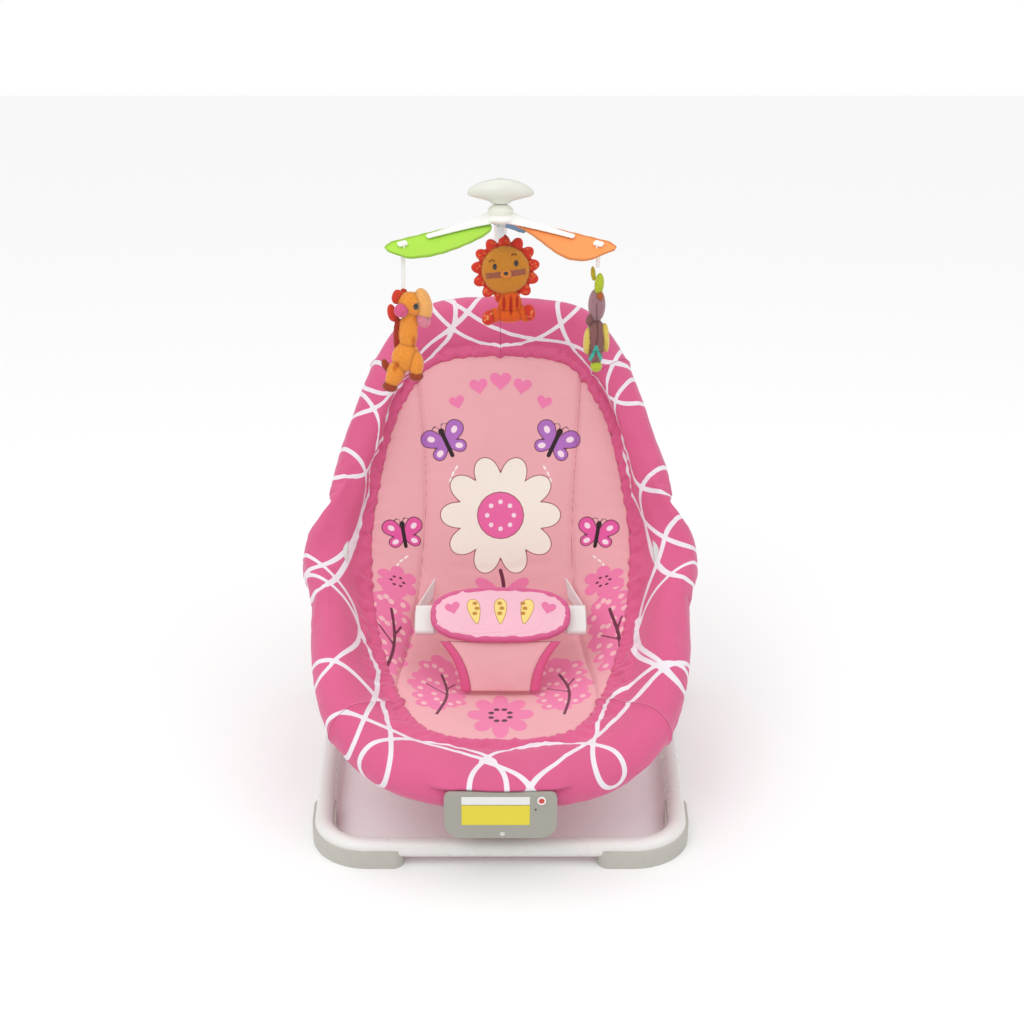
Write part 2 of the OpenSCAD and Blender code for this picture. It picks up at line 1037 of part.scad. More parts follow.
// Balls along a line from a to b, closed into one plump limb
module limb(a, b, r1, r2) {
    hull() {
        translate(a) sphere(r1, $fn = 24);
        translate(b) sphere(r2, $fn = 24);
    }
}

// A toy faces the front of the seat whichever arm it hangs from
module toy_at(bearing, top) {
    toy_frame(bearing)
        rotate([0, 0, 90 - bearing])
            translate([0, 0, 0.6 - top])
                children();
}

// A long-necked spotted animal, side on
module left_toy() {
    color("orange")
        placed()
            toy_at(BEARINGS[0], left_toy_top) {
                limb([6, 0, -12], [20, 0, -20], 12, 8);
                limb([2, 0, -18], [-4, 0, -56], 11, 15);
                limb([-4, 0, -56], [2, 0, -68], 15, 16);
                limb([-10, -4, -72], [-16, -4, -102], 9, 8);
                limb([10, 4, -72], [16, 4, -92], 9, 7);
            }
}

// A round maned face over a small sitting body
module rear_toy() {
    color("firebrick")
        placed()
            toy_at(BEARINGS[2], rear_toy_top) {
                translate([0, 0, -32]) bar_y(-9, 9, 31);
                limb([0, 0, -66], [0, 0, -82], 13, 15);
                limb([-10, -3, -86], [-27, -6, -93], 8, 9);
                limb([10, -3, -86], [27, -6, -93], 8, 9);
            }
}

// A long-nosed animal seen end on
module right_toy() {
    color("mediumpurple")
        placed()
            toy_at(BEARINGS[1], right_toy_top) {
                limb([0, 0, -10], [0, 6, -34], 10, 13);
                limb([0, 4, -40], [0, 12, -74], 12, 16);
                limb([-4, -8, -84], [-5, -8, -102], 9, 9);
                limb([4, 16, -84], [5, 18, -98], 9, 8);
            }
}

base_tube();
front_feet();
rear_feet();
foot_screws();
arm_clamps();
arm_pins();
spring_arms();
seat_hubs();
hub_bolts();
seat_frame();
seat_roll();
seat_pan();
left_seat_side();
right_seat_side();
crotch_panel();
waist_pad();
waist_straps();
strap_receivers();
left_tongue();
right_tongue();
left_tail();
right_tail();
unit_front_cover();
unit_housing();
unit_back_plate();
unit_clamps();
unit_screws();
battery_door();
batteries();
battery_contacts();
motor();
motor_weight();
circuit_board();
indicator_light();
label_plates();
power_button();
back_hubs();
back_frame();
back_roll();
back_panel();
mast_bracket();
bracket_screws();
mast_pin();
mast_tube();
hood_top();
hood_base();
hood_screws();
spindle();
spindle_nut();
spinner_hub();
spider();
left_wing();
right_wing();
rear_wing();
left_toy();
rear_toy();
right_toy();
left_ribbon();
rear_ribbon();
right_ribbon();
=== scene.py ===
import json
import math

import bpy
import bmesh
import numpy as np
from mathutils import Matrix, Vector


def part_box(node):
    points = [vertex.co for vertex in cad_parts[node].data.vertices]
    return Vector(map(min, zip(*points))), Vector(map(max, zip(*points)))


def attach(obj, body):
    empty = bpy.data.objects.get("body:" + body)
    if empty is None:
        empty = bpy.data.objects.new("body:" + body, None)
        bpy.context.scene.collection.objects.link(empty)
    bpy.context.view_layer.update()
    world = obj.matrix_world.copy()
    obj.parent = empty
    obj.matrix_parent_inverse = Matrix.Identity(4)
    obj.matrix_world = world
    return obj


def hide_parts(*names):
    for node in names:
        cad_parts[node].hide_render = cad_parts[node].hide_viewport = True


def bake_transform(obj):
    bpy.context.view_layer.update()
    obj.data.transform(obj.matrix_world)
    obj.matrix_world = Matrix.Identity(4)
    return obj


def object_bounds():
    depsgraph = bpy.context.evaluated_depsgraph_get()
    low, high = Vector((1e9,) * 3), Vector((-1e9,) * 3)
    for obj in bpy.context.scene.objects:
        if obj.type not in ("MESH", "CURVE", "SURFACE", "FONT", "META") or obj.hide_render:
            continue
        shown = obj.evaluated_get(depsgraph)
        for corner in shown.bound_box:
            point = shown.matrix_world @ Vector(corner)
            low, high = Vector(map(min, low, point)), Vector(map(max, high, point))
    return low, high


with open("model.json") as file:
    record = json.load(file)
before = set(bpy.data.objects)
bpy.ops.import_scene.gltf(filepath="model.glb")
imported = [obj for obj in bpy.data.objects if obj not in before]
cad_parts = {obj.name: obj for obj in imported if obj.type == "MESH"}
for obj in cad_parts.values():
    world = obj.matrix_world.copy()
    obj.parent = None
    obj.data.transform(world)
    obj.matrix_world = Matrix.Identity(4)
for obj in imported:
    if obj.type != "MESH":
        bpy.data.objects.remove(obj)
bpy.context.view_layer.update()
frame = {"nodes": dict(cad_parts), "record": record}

RECORD = frame["record"]
JOINTS = {j["name"]: j for j in RECORD["behaviour"]["joints"]}

# The tables below are millimetres in the drawing frame, whose hub axis lies at Y 251, Z 230.
HUB_YZ = np.array([251.0, 230.0])
HUB_ROW = np.array(JOINTS["recline"]["pos_m"])


def row(points):
    """Drawing millimetres to metres in the row frame."""
    p = np.asarray(points, float)
    return np.stack(
        [
            p[..., 0] / 1000,
            (p[..., 1] - HUB_YZ[0]) / 1000 + HUB_ROW[1],
            (p[..., 2] - HUB_YZ[1]) / 1000 + HUB_ROW[2],
        ],
        -1,
    )


# Slope of the seat's plane and of the back's
SEAT_ANGLE, BACK_ANGLE = math.radians(23), math.radians(56.5)


# ---------------------------------------------------------------- curves and the seat's fabric coordinates
def circle(n):
    """n even angles once round."""
    return np.linspace(0, 2 * math.pi, n, endpoint=False)


def spline(t, values, at, period=None):
    """Cubic spline through values at t, sampled at `at`; closed if a period is given."""
    t, values, at = (np.asarray(a, float) for a in (t, values, at))
    if period:
        reach = 4
        t = np.concatenate([t[-reach:] - period, t, t[:reach] + period])
        values = np.concatenate([values[-reach:], values, values[:reach]])
        at = np.mod(at, period)
    n, h = len(t), np.diff(t)
    flat = values.reshape(n, -1)
    a, b = np.eye(n), np.zeros_like(flat)
    slope = np.diff(flat, axis=0) / h[:, None]
    for i in range(1, n - 1):
        a[i, i - 1 : i + 2] = h[i - 1], 2 * (h[i - 1] + h[i]), h[i]
        b[i] = 6 * (slope[i] - slope[i - 1])
    m = np.linalg.solve(a, b)
    i = np.clip(np.searchsorted(t, at) - 1, 0, n - 2)
    u, hi = (at - t[i])[:, None], h[i][:, None]
    out = (
        flat[i]
        + u * (slope[i] - hi * (2 * m[i] + m[i + 1]) / 6)
        + u**2 * m[i] / 2
        + u**3 * (m[i + 1] - m[i]) / (6 * hi)
    )
    return out.reshape((len(at),) + values.shape[1:])


def in_seat(x, d, n=0.0):
    """A place in the seat's plane, d towards the front from the hub axis and n above it."""
    c, s = math.cos(SEAT_ANGLE), math.sin(SEAT_ANGLE)
    return np.array([x, HUB_YZ[0] - d * c - n * s, HUB_YZ[1] - d * s + n * c])


def in_back(x, s, n=0.0):
    """A place in the back's plane, s up from the hub axis and n in front of it."""
    c, k = math.cos(BACK_ANGLE), math.sin(BACK_ANGLE)
    return np.array([x, HUB_YZ[0] + s * c - n * k, HUB_YZ[1] + s * k + n * c])


# Inner pad: arc length along its middle, the middle line, the line of its side seam, the pad's width
PAD_Q = [0, 58, 120, 164, 204, 242, 282, 333, 389, 446, 505, 557, 608]
PAD_MID = [
    (2, 120), (60, 113), (121, 106), (165, 103), (205, 109), (238, 128), (262, 160),
    (285, 205), (310, 255), (335, 307), (360, 360), (382, 407), (403, 453),
]
PAD_SIDE = [
    (2, 122), (62, 127), (118, 138), (156, 152), (190, 168), (216, 184), (240, 203),
    (266, 226), (293, 266), (322, 315), (351, 365), (377, 410), (404, 455),
]
PAD_WIDE = [92, 112, 129, 140, 148, 154, 158, 161, 160, 151, 139, 121, 104]
# Its outline, from the middle of the front round the right side to the middle of the top, as (p, q)
PAD_OUTLINE = [
    (0, 0), (40, 1.5), (70, 12), (93, 34), (108, 62), (127, 120), (140, 164), (148, 204), (154, 242),
    (158, 282), (161, 333), (160, 389), (151, 446), (139, 505), (118, 557), (102, 581), (76, 598),
    (38, 606), (0, 608),
]
# Outer edge of the rim at the same places, as (x, distance) in the seat's plane, then the back's
RIM_OUTER = [
    in_seat(0, 355), in_seat(51, 352), in_seat(101, 340), in_seat(144, 314), in_seat(180, 270),
    in_seat(206, 195), in_seat(216, 125), in_seat(221, 75), in_seat(232, 36), in_back(238, 0),
    in_back(233, 28), in_back(216, 66), in_back(200, 124), in_back(182, 184), in_back(163, 248),
    in_back(146, 287), in_back(114, 328), in_back(60, 345), in_back(0, 348),
]


def pad_point(p, q):
    """Where a place (p across, q along) of the inner pad is."""
    p, q = np.asarray(p, float), np.asarray(q, float)
    mid, side = spline(PAD_Q, PAD_MID, q), spline(PAD_Q, PAD_SIDE, q)
    wide = spline(PAD_Q, PAD_WIDE, q)
    rise = np.clip(np.abs(p) / wide, 0, 1.2) ** 2.3
    yz = mid + (side - mid) * rise[:, None]
    return np.column_stack([p, yz])


def ring_controls():
    """Rim cross-sections at the stations of the right half: stations x points x 3."""
    rows = []
    outline = np.array(PAD_OUTLINE, float)
    seams = pad_point(outline[:, 0], outline[:, 1])
    n_seat = np.array([0, -math.sin(SEAT_ANGLE), math.cos(SEAT_ANGLE)])
    n_back = np.array([0, -math.sin(BACK_ANGLE), math.cos(BACK_ANGLE)])
    mix = [0] * 7 + [0.15, 0.3, 0.5, 0.7, 0.88] + [1] * 7
    puff = [1] * 7 + [1.08, 1.3, 1.45, 1.35, 1.15, 1.12, 1.12, 1.1, 1.08, 1.05, 1.05, 1.05]
    for seam, outer, m, k in zip(seams, RIM_OUTER, mix, puff):
        normal = n_seat * (1 - m) + n_back * m
        normal /= np.linalg.norm(normal)
        inward = seam - outer
        inward -= normal * (inward @ normal)
        span = np.linalg.norm(inward)
        inward /= span
        drop = (seam - outer) @ normal
        # Over the hinge hubs the padding stays thick further in
        swell = 42 * max(k - 1.15, 0)

        def at(w, h):
            return outer + inward * w + normal * h

        rows.append([
            outer,
            at(2.5, 10 * k),
            at(9.5, 18.5 * k),
            at(21, 23.5 * k),
            at(36, 21 * k + swell * 0.3),
            at(36 + (span - 36) * 0.55, (21 * k) * 0.42 + drop * 0.58 + 5 + swell),
            at(span - 3.5, drop + 2.5),
            at(span + 1, drop - 3),
            at(span - 6, min(drop - 14, -16)),
            at(40, -23 * k),
            at(20, -22.5 * k),
            at(7, -16 * k),
        ])
    return np.array(rows)


def ring_grid(nu, nv):
    """The rim as a closed grid of points (nu around, nv across), and its fabric coordinates."""
    half = ring_controls()
    left = half[-2:0:-1] * [-1, 1, 1]
    ctrl = np.concatenate([half, left])
    line = ctrl[:, 3]
    step = np.linalg.norm(np.diff(np.vstack([line, line[:1]]), axis=0), axis=1)
    t = np.concatenate([[0], np.cumsum(step)[:-1]])
    period = step.sum()
    fine = spline(t, ctrl, np.linspace(0, period, nu, endpoint=False), period)
    # even spacing along the crown
    samples = fine[:: max(1, nu // 24)]
    chord = np.mean([np.linalg.norm(np.roll(f, -1, 0) - f, axis=1) for f in samples], axis=0)
    tv = np.concatenate([[0], np.cumsum(chord)[:-1]])
    pv = chord.sum()
    u = np.linspace(0, period, nu, endpoint=False)
    v = np.linspace(0, pv, nv, endpoint=False)
    grid = spline(tv, fine.transpose(1, 0, 2), v, pv).transpose(1, 0, 2)
    return grid, u, v, period, pv, tv


# Where the grid over the pad has its corners, counted along PAD_OUTLINE
CORNER_LOW, CORNER_HIGH = 2.6, 15.6


def coons(nx, ny):
    """Even grid over the pad's outline, as (ny, nx, 2) of fabric coordinates."""
    pts = np.array(PAD_OUTLINE, float)
    step = np.concatenate([[0], np.cumsum(np.linalg.norm(np.diff(pts, axis=0), axis=1))])
    lo, hi = np.interp([CORNER_LOW, CORNER_HIGH], np.arange(len(pts)), step)
    full = np.concatenate([pts, pts[-2:0:-1] * [-1, 1]])
    per = 2 * step[-1]
    tt = np.concatenate([step, per - step[-2:0:-1]])

    def curve(at):
        return spline(tt, full, at, per)

    right = curve(np.linspace(lo, hi, ny))
    left = right * [-1, 1]
    low = curve(np.mod(np.linspace(-lo, lo, nx), per))
    top = curve(np.linspace(per - hi, hi, nx))
    a, b = np.meshgrid(np.linspace(0, 1, nx), np.linspace(0, 1, ny))
    a, b = a[..., None], b[..., None]
    g = (1 - b) * low[None] + b * top[None] + (1 - a) * left[:, None] + a * right[:, None]
    g -= (1 - a) * (1 - b) * low[0] + a * (1 - b) * low[-1] + (1 - a) * b * top[0] + a * b * top[-1]
    return g


# ---------------------------------------------------------------- meshes
def new_object(name, verts, faces, smooth=True):
    mesh = bpy.data.meshes.new(name)
    mesh.from_pydata([tuple(v) for v in verts], [], [tuple(f) for f in faces])
    mesh.validate()
    if smooth:
        mesh.polygons.foreach_set("use_smooth", np.ones(len(mesh.polygons), bool))
    mesh.update()
    obj = bpy.data.objects.new(name, mesh)
    bpy.context.scene.collection.objects.link(obj)
    return obj


def grid_faces(nu, nv, close_u=False, close_v=False, base=0, flip=False):
    i, j = np.meshgrid(
        np.arange(nu if close_u else nu - 1), np.arange(nv if close_v else nv - 1), indexing="ij"
    )
    i, j = i.ravel(), j.ravel()
    a, b = i * nv + j, ((i + 1) % nu) * nv + j
    c, d = ((i + 1) % nu) * nv + (j + 1) % nv, i * nv + (j + 1) % nv
    f = np.stack([a, b, c, d] if not flip else [d, c, b, a], 1)
    return f + base


def grid_border(nu, nv):
    """Indices round the edge of a grid, once round."""
    return np.concatenate([np.arange(nv), np.arange(1, nu) * nv + nv - 1,
                           (nu - 1) * nv + np.arange(nv - 2, -1, -1), np.arange(nu - 2, 0, -1) * nv])


def tidy_normals(obj):
    bm = bmesh.new()
    bm.from_mesh(obj.data)
    bmesh.ops.recalc_face_normals(bm, faces=bm.faces[:])
    bm.to_mesh(obj.data)
    bm.free()
    obj.data.polygons.foreach_set("use_smooth", np.ones(len(obj.data.polygons), bool))
    return obj


def two_sided(name, near_side, far_side):
    """A closed sheet between two grids of points in drawing millimetres, joined round their borders."""
    nu, nv = near_side.shape[:2]
    count, edge_id = nu * nv, grid_border(nu, nv)
    nxt = np.roll(edge_id, -1)
    faces = np.vstack([grid_faces(nu, nv), grid_faces(nu, nv, base=count, flip=True),
                       np.stack([edge_id, edge_id + count, nxt + count, nxt], 1)])
    verts = np.vstack([near_side.reshape(-1, 3), far_side.reshape(-1, 3)])
    return tidy_normals(new_object(name, row(verts), faces))


def add_float(obj, name, values):
    a = obj.data.attributes.new(name, "FLOAT", "POINT")
    a.data.foreach_set("value", np.asarray(values, np.float32).ravel())


def add_vector(obj, name, values):
    a = obj.data.attributes.new(name, "FLOAT_VECTOR", "POINT")
    a.data.foreach_set("vector", np.asarray(values, np.float32).ravel())


def add_colour(obj, name, values):
    a = obj.data.attributes.new(name, "FLOAT_COLOR", "POINT")
    v = np.column_stack([np.asarray(values, float).reshape(-1, 3), np.ones(len(obj.data.vertices))])
    a.data.foreach_set("color", v.astype(np.float32).ravel())


def add_fabric(obj, places):
    """Stores each point's place on the cloth, given in millimetres, as metres."""
    places = np.asarray(places)
    add_vector(obj, "fab", np.column_stack([places / 1000, np.zeros(len(places))]))


def coords_of(obj):
    co = np.empty(len(obj.data.vertices) * 3, np.float32)
    obj.data.vertices.foreach_get("co", co)
    return co.reshape(-1, 3).astype(float)


def set_coords(obj, co):
    obj.data.vertices.foreach_set("co", np.asarray(co, np.float32).ravel())
    obj.data.update()


def grid_normals(g, close_u=False, close_v=False):
    """Unit normals of a grid of points."""

    def diff(a, axis, closed):
        if closed:
            return np.roll(a, -1, axis) - np.roll(a, 1, axis)
        return np.gradient(a, axis=axis)

    n = np.cross(diff(g, 0, close_u), diff(g, 1, close_v))
    return n / np.maximum(np.linalg.norm(n, axis=-1, keepdims=True), 1e-12)


# ---------------------------------------------------------------- materials
def linear(hex_code):
    """An sRGB hex colour as linear RGB."""
    c = np.array([int(hex_code[i : i + 2], 16) for i in (0, 2, 4)]) / 255
    return tuple(np.where(c <= 0.04045, c / 12.92, ((c + 0.055) / 1.055) ** 2.4))


class Nodes:
    """Short names for building one material's node tree."""

    def __init__(self, name):
        self.material = bpy.data.materials.new(name)
        self.material.use_nodes = True
        self.tree = self.material.node_tree
        self.tree.nodes.clear()
        self.out = self.tree.nodes.new("ShaderNodeOutputMaterial")
        self.shader = self.tree.nodes.new("ShaderNodeBsdfPrincipled")
        self.tree.links.new(self.shader.outputs[0], self.out.inputs[0])

    def add(self, kind, settings=None, **inputs):
        node = self.tree.nodes.new("ShaderNode" + kind)
        for key, value in (settings or {}).items():
            setattr(node, key, value)
        for key, value in inputs.items():
            self.put(node, int(key[1:]) if key[0] == "i" and key[1:].isdigit() else key, value)
        return node

    def put(self, node, key, value):
        socket = node.inputs[key]
        if isinstance(value, bpy.types.NodeSocket):
            self.tree.links.new(value, socket)
        elif isinstance(value, tuple) and len(value) == 3 and socket.type == "RGBA":
            socket.default_value = (*value, 1)
        else:
            socket.default_value = value

    def math(self, operation, a, b=0.0):
        return self.add("Math", {"operation": operation}, i0=a, i1=b).outputs[0]

    def mix(self, factor, a, b):
        node = self.add("Mix", {"data_type": "RGBA"})
        self.put(node, 0, factor)
        self.put(node, 6, a)
        self.put(node, 7, b)
        return node.outputs[2]

    def attribute(self, name, output="Fac"):
        return self.add("Attribute", {"attribute_name": name}).outputs[output]

    def ramp(self, value, low, high, to_low=0.0, to_high=1.0):
        node = self.add("MapRange", {"clamp": True})
        for key, v in (("Value", value), ("From Min", low), ("From Max", high),
                       ("To Min", to_low), ("To Max", to_high)):
            self.put(node, key, v)
        return node.outputs[0]

    def noise(self, vector, scale, detail=2.0, rough=0.5):
        node = self.add("TexNoise", None, Vector=vector, Scale=scale, Detail=detail, Roughness=rough)
        return node.outputs[0]

    def place(self):
        return self.add("TexCoord").outputs["Object"]

    def bump(self, height, strength, distance, normal=None):
        node = self.add("Bump", None, Height=height, Strength=strength, Distance=distance)
        if normal is not None:
            self.put(node, "Normal", normal)
        return node.outputs[0]

    def finish(self, colour, rough, normal=None, **constants):
        self.put(self.shader, "Base Color", colour)
        self.put(self.shader, "Roughness", rough)
        if normal is not None:
            self.put(self.shader, "Normal", normal)
        for key, value in constants.items():
            self.shader.inputs[key.replace("_", " ")].default_value = value
        return self.material


def mottled(n, where, colour, amount, scale):
    """Colour that drifts a little lighter and darker over the surface."""
    drift = n.ramp(n.noise(where, scale, 3.0), 0.3, 0.7)
    dark, light = (tuple(min(1, c * k) for c in colour) for k in (1 - amount, 1 + amount))
    return n.mix(drift, dark, light)


def weave_height(n, where, pitch):
    """Plain weave: threads of the given pitch (metres) both ways, plus nap."""
    across, along = (
        n.add("TexWave", {"wave_type": "BANDS", "bands_direction": axis, "wave_profile": "SIN"},
              Vector=where, Scale=1 / pitch / 3.2, Distortion=0.6).outputs[1]
        for axis in "XY")
    nap = n.noise(where, 420.0, 4.0, 0.7)
    return n.math("ADD", n.math("MULTIPLY", across, along), n.math("MULTIPLY", nap, 0.8))


def fabric(name, colour, rough=0.9, sheen=0.35, pitch=0.0011, strength=0.35, paint=None,
           where="fab", vary=0.05, folds=0.0):
    """Woven cloth. `paint(nodes, base)` may lay a print over the base colour."""
    n = Nodes(name)
    place = n.attribute(where, "Vector") if where else n.place()
    base = mottled(n, place, colour, vary, 9.0)
    if paint:
        base = paint(n, base)
    fibre = n.ramp(n.noise(place, 900.0, 2.0), 0.35, 0.65)
    base = n.mix(n.math("MULTIPLY", fibre, 0.07), base, (0.0, 0.0, 0.0))
    normal = n.bump(weave_height(n, place, pitch), strength, 0.00025)
    if folds:
        normal = n.bump(n.noise(place, 38.0, 3.0, 0.55), folds, 0.004, normal)
    roughness = n.ramp(n.noise(place, 60.0, 2.0), 0.3, 0.7, rough - 0.06, rough + 0.06)
    return n.finish(base, roughness, normal, Sheen_Weight=sheen, Sheen_Roughness=0.45,
                    Specular_IOR_Level=0.25)


def plastic(name, colour, rough=0.4, grain=0.15, coat=0.0, vary=0.03, grain_scale=700.0):
    n = Nodes(name)
    place = n.place()
    base = mottled(n, place, colour, vary, 14.0)
    roughness = n.ramp(n.noise(place, 45.0, 3.0), 0.3, 0.7, rough - 0.05, rough + 0.07)
    normal = n.bump(n.noise(place, grain_scale, 3.0, 0.6), grain, 0.0002)
    return n.finish(base, roughness, normal, Coat_Weight=coat, Coat_Roughness=0.25)


def metal(name, colour, rough=0.35, brushed=0.2):
    n = Nodes(name)
    place = n.place()
    base = mottled(n, place, colour, 0.06, 40.0)
    roughness = n.ramp(n.noise(place, 200.0, 3.0), 0.3, 0.7, rough - 0.08, rough + 0.1)
    normal = n.bump(n.noise(place, 1500.0, 2.0), brushed, 0.0001)
    return n.finish(base, roughness, normal, Metallic=1.0)


def plush(name):
    """Short pile; colour comes from the mesh, pile from fine noise."""
    n = Nodes(name)
    place = n.place()
    base = n.attribute("tint", "Color")
    tufts = n.ramp(n.noise(place, 380.0, 4.0, 0.7), 0.3, 0.7)
    base = n.mix(n.math("MULTIPLY", tufts, 0.22), base, (0.0, 0.0, 0.0))
    normal = n.bump(n.noise(place, 520.0, 4.0, 0.75), 0.7, 0.0009)
    normal = n.bump(n.noise(place, 110.0, 3.0, 0.6), 0.35, 0.0016, normal)
    return n.finish(base, 0.95, normal, Sheen_Weight=0.5, Sheen_Roughness=0.4, Specular_IOR_Level=0.2)


def slot_all(obj, material):
    obj.data.materials.clear()
    obj.data.materials.append(material)
    return obj


# ---------------------------------------------------------------- printed shapes, as distances in mm
FAR = 30.0


def smooth_path(points, n=None, closed=False):
    p = np.asarray(points, float)
    if len(p) < 3:
        return p
    ring = np.vstack([p, p[:1]]) if closed else p
    t = np.concatenate([[0], np.cumsum(np.sqrt(np.linalg.norm(np.diff(ring, axis=0), axis=1)))])
    if closed:
        at = np.linspace(0, t[-1], n or 6 * len(p), endpoint=False)
        return spline(t[:-1], p, at, t[-1])
    return spline(t, p, np.linspace(0, t[-1], n or 6 * len(p)))


def near(points, shape, reach=FAR):
    lo, hi = shape.min(0) - reach, shape.max(0) + reach
    return np.nonzero(np.all((points > lo) & (points < hi), axis=1))[0]


def edge_distance(points, a, b):
    d, best = np.asarray(points), None
    for p, q in zip(a, b):
        e = q - p
        t = np.clip(((d - p) @ e) / max(e @ e, 1e-9), 0, 1)
        s = np.sum((d - p - t[:, None] * e) ** 2, axis=1)
        best = s if best is None else np.minimum(best, s)
    return np.sqrt(best)


def merge(field, idx, values):
    field[idx] = np.minimum(field[idx], values)


def stroke(field, points, path, half, smooth=True):
    path = smooth_path(path) if smooth else np.asarray(path, float)
    idx = near(points, path)
    if len(idx):
        merge(field, idx, edge_distance(points[idx], path[:-1], path[1:]) - half)


def blob(field, points, outline, smooth=True):
    """Adds the inside of a closed outline to a distance field."""
    o = smooth_path(outline, closed=True) if smooth else np.asarray(outline, float)
    idx = near(points, o)
    if not len(idx):
        return
    p, nxt = points[idx], np.roll(o, -1, 0)
    d = edge_distance(p, o, nxt)
    inside = np.zeros(len(p), bool)
    for (x0, y0), (x1, y1) in zip(o, nxt):
        cross = (y0 > p[:, 1]) != (y1 > p[:, 1])
        if cross.any():
            inside ^= cross & (p[:, 0] < (x1 - x0) * (p[:, 1] - y0) / (y1 - y0 + 1e-12) + x0)
    merge(field, idx, np.where(inside, -d, d))


def turned(x, y, px, py, turn):
    """Points (px, py) turned by `turn` degrees and moved to (x, y)."""
    c, s = math.cos(math.radians(turn)), math.sin(math.radians(turn))
    return np.column_stack([x + px * c - py * s, y + px * s + py * c])


def oval(x, y, rx, ry, turn=0.0, n=20):
    a = circle(n)
    return turned(x, y, rx * np.cos(a), ry * np.sin(a), turn)


def petal_shape(x, y, length, width, turn, n=16):
    """A teardrop that starts at (x, y) and points along turn."""
    a = circle(n)
    u, w = (1 - np.cos(a)) / 2, np.sin(a) * (0.35 + 0.65 * (1 - np.cos(a)) / 2)
    return turned(x, y, u * length, w * width / 2, turn)


def heart_shape(x, y, size, turn=0.0, n=28):
    a = circle(n)
    px = np.sin(a) ** 3
    py = (13 * np.cos(a) - 5 * np.cos(2 * a) - 2 * np.cos(3 * a) - np.cos(4 * a)) / 16
    return turned(x, y, size * px, size * py, turn)


def dashes(field, points, path, half, on=5.0, off=4.0):
    line = smooth_path(path, 80)
    along = np.concatenate([[0], np.cumsum(np.linalg.norm(np.diff(line, axis=0), axis=1))])
    s = 0.0
    while s + on < along[-1]:
        cut = np.linspace(s, s + on, 4)
        dash = np.column_stack([np.interp(cut, along, line[:, k]) for k in (0, 1)])
        stroke(field, points, dash, half, False)
        s += on + off


# ---------------------------------------------------------------- colours
RIM_PINK = linear("D75F8B")
BAND_LIGHT, BAND_DARK = linear("F2ECF2"), linear("E4DAE4")
SEAM_PINK = linear("A03058")
PAD_PINK = linear("E9ABB1")
MOTIF_PINK = linear("EB7FAB")
DOT_PINK = linear("F3BFC4")
PLUM = linear("5A2A3C")
CREAM = linear("F3E9DE")
BROWN = linear("8E463F")
PURPLE = linear("B070BE")
MAGENTA = linear("E25CA0")
PALE = linear("F4DDE8")
DARK = linear("33242A")
WHITE = linear("FAF6F4")
BRANCH = linear("6E2F45")
DAISY_PINK = linear("E86AA4")


# ---------------------------------------------------------------- looping bands on the rim
# Each band runs once round the rim in even loops: loops, sway along, sway across, middle, phase
BAND_HALF = 2.7
LOOPING_BANDS = [(13, 44, 46, 40, 0.4), (8, 62, 48, 34, 2.1)]


def looping_band(loops, along, across, middle, phase):
    """A closed line that curls back over itself, in millimetres of rim fabric."""
    t = np.linspace(0, 1, 56 * loops + 1)
    turn = 2 * math.pi * loops * t + phase
    drift = 2 * math.pi * t
    u = RIM_LONG * (t - 0.5) + along * np.sin(turn) + 14 * np.sin(3 * drift + phase)
    v = middle + across * np.cos(turn) + 9 * np.sin(2 * drift + 2 * phase)
    return np.column_stack([u, v])


# ---------------------------------------------------------------- seat cover
def ripple(u, v, waves, seed):
    """Sum of sine waves over a period of 1 in u, with random phases: (count, amplitude, v frequency)."""
    r = np.random.default_rng(seed)
    out = np.zeros(np.broadcast(u, v).shape)
    for count, amplitude, fv in waves:
        out += amplitude * np.sin(
            2 * math.pi * (count * u + fv * v) + r.uniform(0, 2 * math.pi)
        ) * (0.6 + 0.4 * np.sin(2 * math.pi * (r.integers(1, 5) * u) + r.uniform(0, 6.28)))
    return out


def pressed(obj, pinned, pressure=4.0, cap=0.006, frames=16, shrink=-0.03, bend=2.0):
    """Blows the closed mesh up as cloth, keeps `pinned` vertices, and caps how far a point moves."""
    rest = coords_of(obj)
    group = obj.vertex_groups.new(name="pin")
    for weight in np.unique(np.round(pinned, 2)):
        if weight > 0:
            members = np.nonzero(np.abs(np.round(pinned, 2) - weight) < 1e-6)[0]
            group.add(members.tolist(), float(weight), "REPLACE")
    mod = obj.modifiers.new("cloth", "CLOTH")
    s = mod.settings
    s.quality = 5
    s.mass = 0.25
    s.use_pressure = True
    s.uniform_pressure_force = pressure
    s.vertex_group_mass = "pin"
    s.shrink_min = shrink
    s.tension_stiffness = s.compression_stiffness = 25
    s.shear_stiffness = 8
    s.bending_stiffness = bend
    s.air_damping = 4
    s.effector_weights.gravity = 0
    mod.collision_settings.use_collision = False
    scene = bpy.context.scene
    for f in range(1, frames + 1):
        scene.frame_set(f)
    shape = obj.evaluated_get(bpy.context.evaluated_depsgraph_get()).data
    co = np.empty(len(shape.vertices) * 3, np.float32)
    shape.vertices.foreach_get("co", co)
    move = co.reshape(-1, 3) - rest
    length = np.linalg.norm(move, axis=1, keepdims=True)
    move *= np.minimum(1, cap / np.maximum(length, 1e-9))
    obj.modifiers.remove(mod)
    scene.frame_set(1)
    return np.nan_to_num(move)


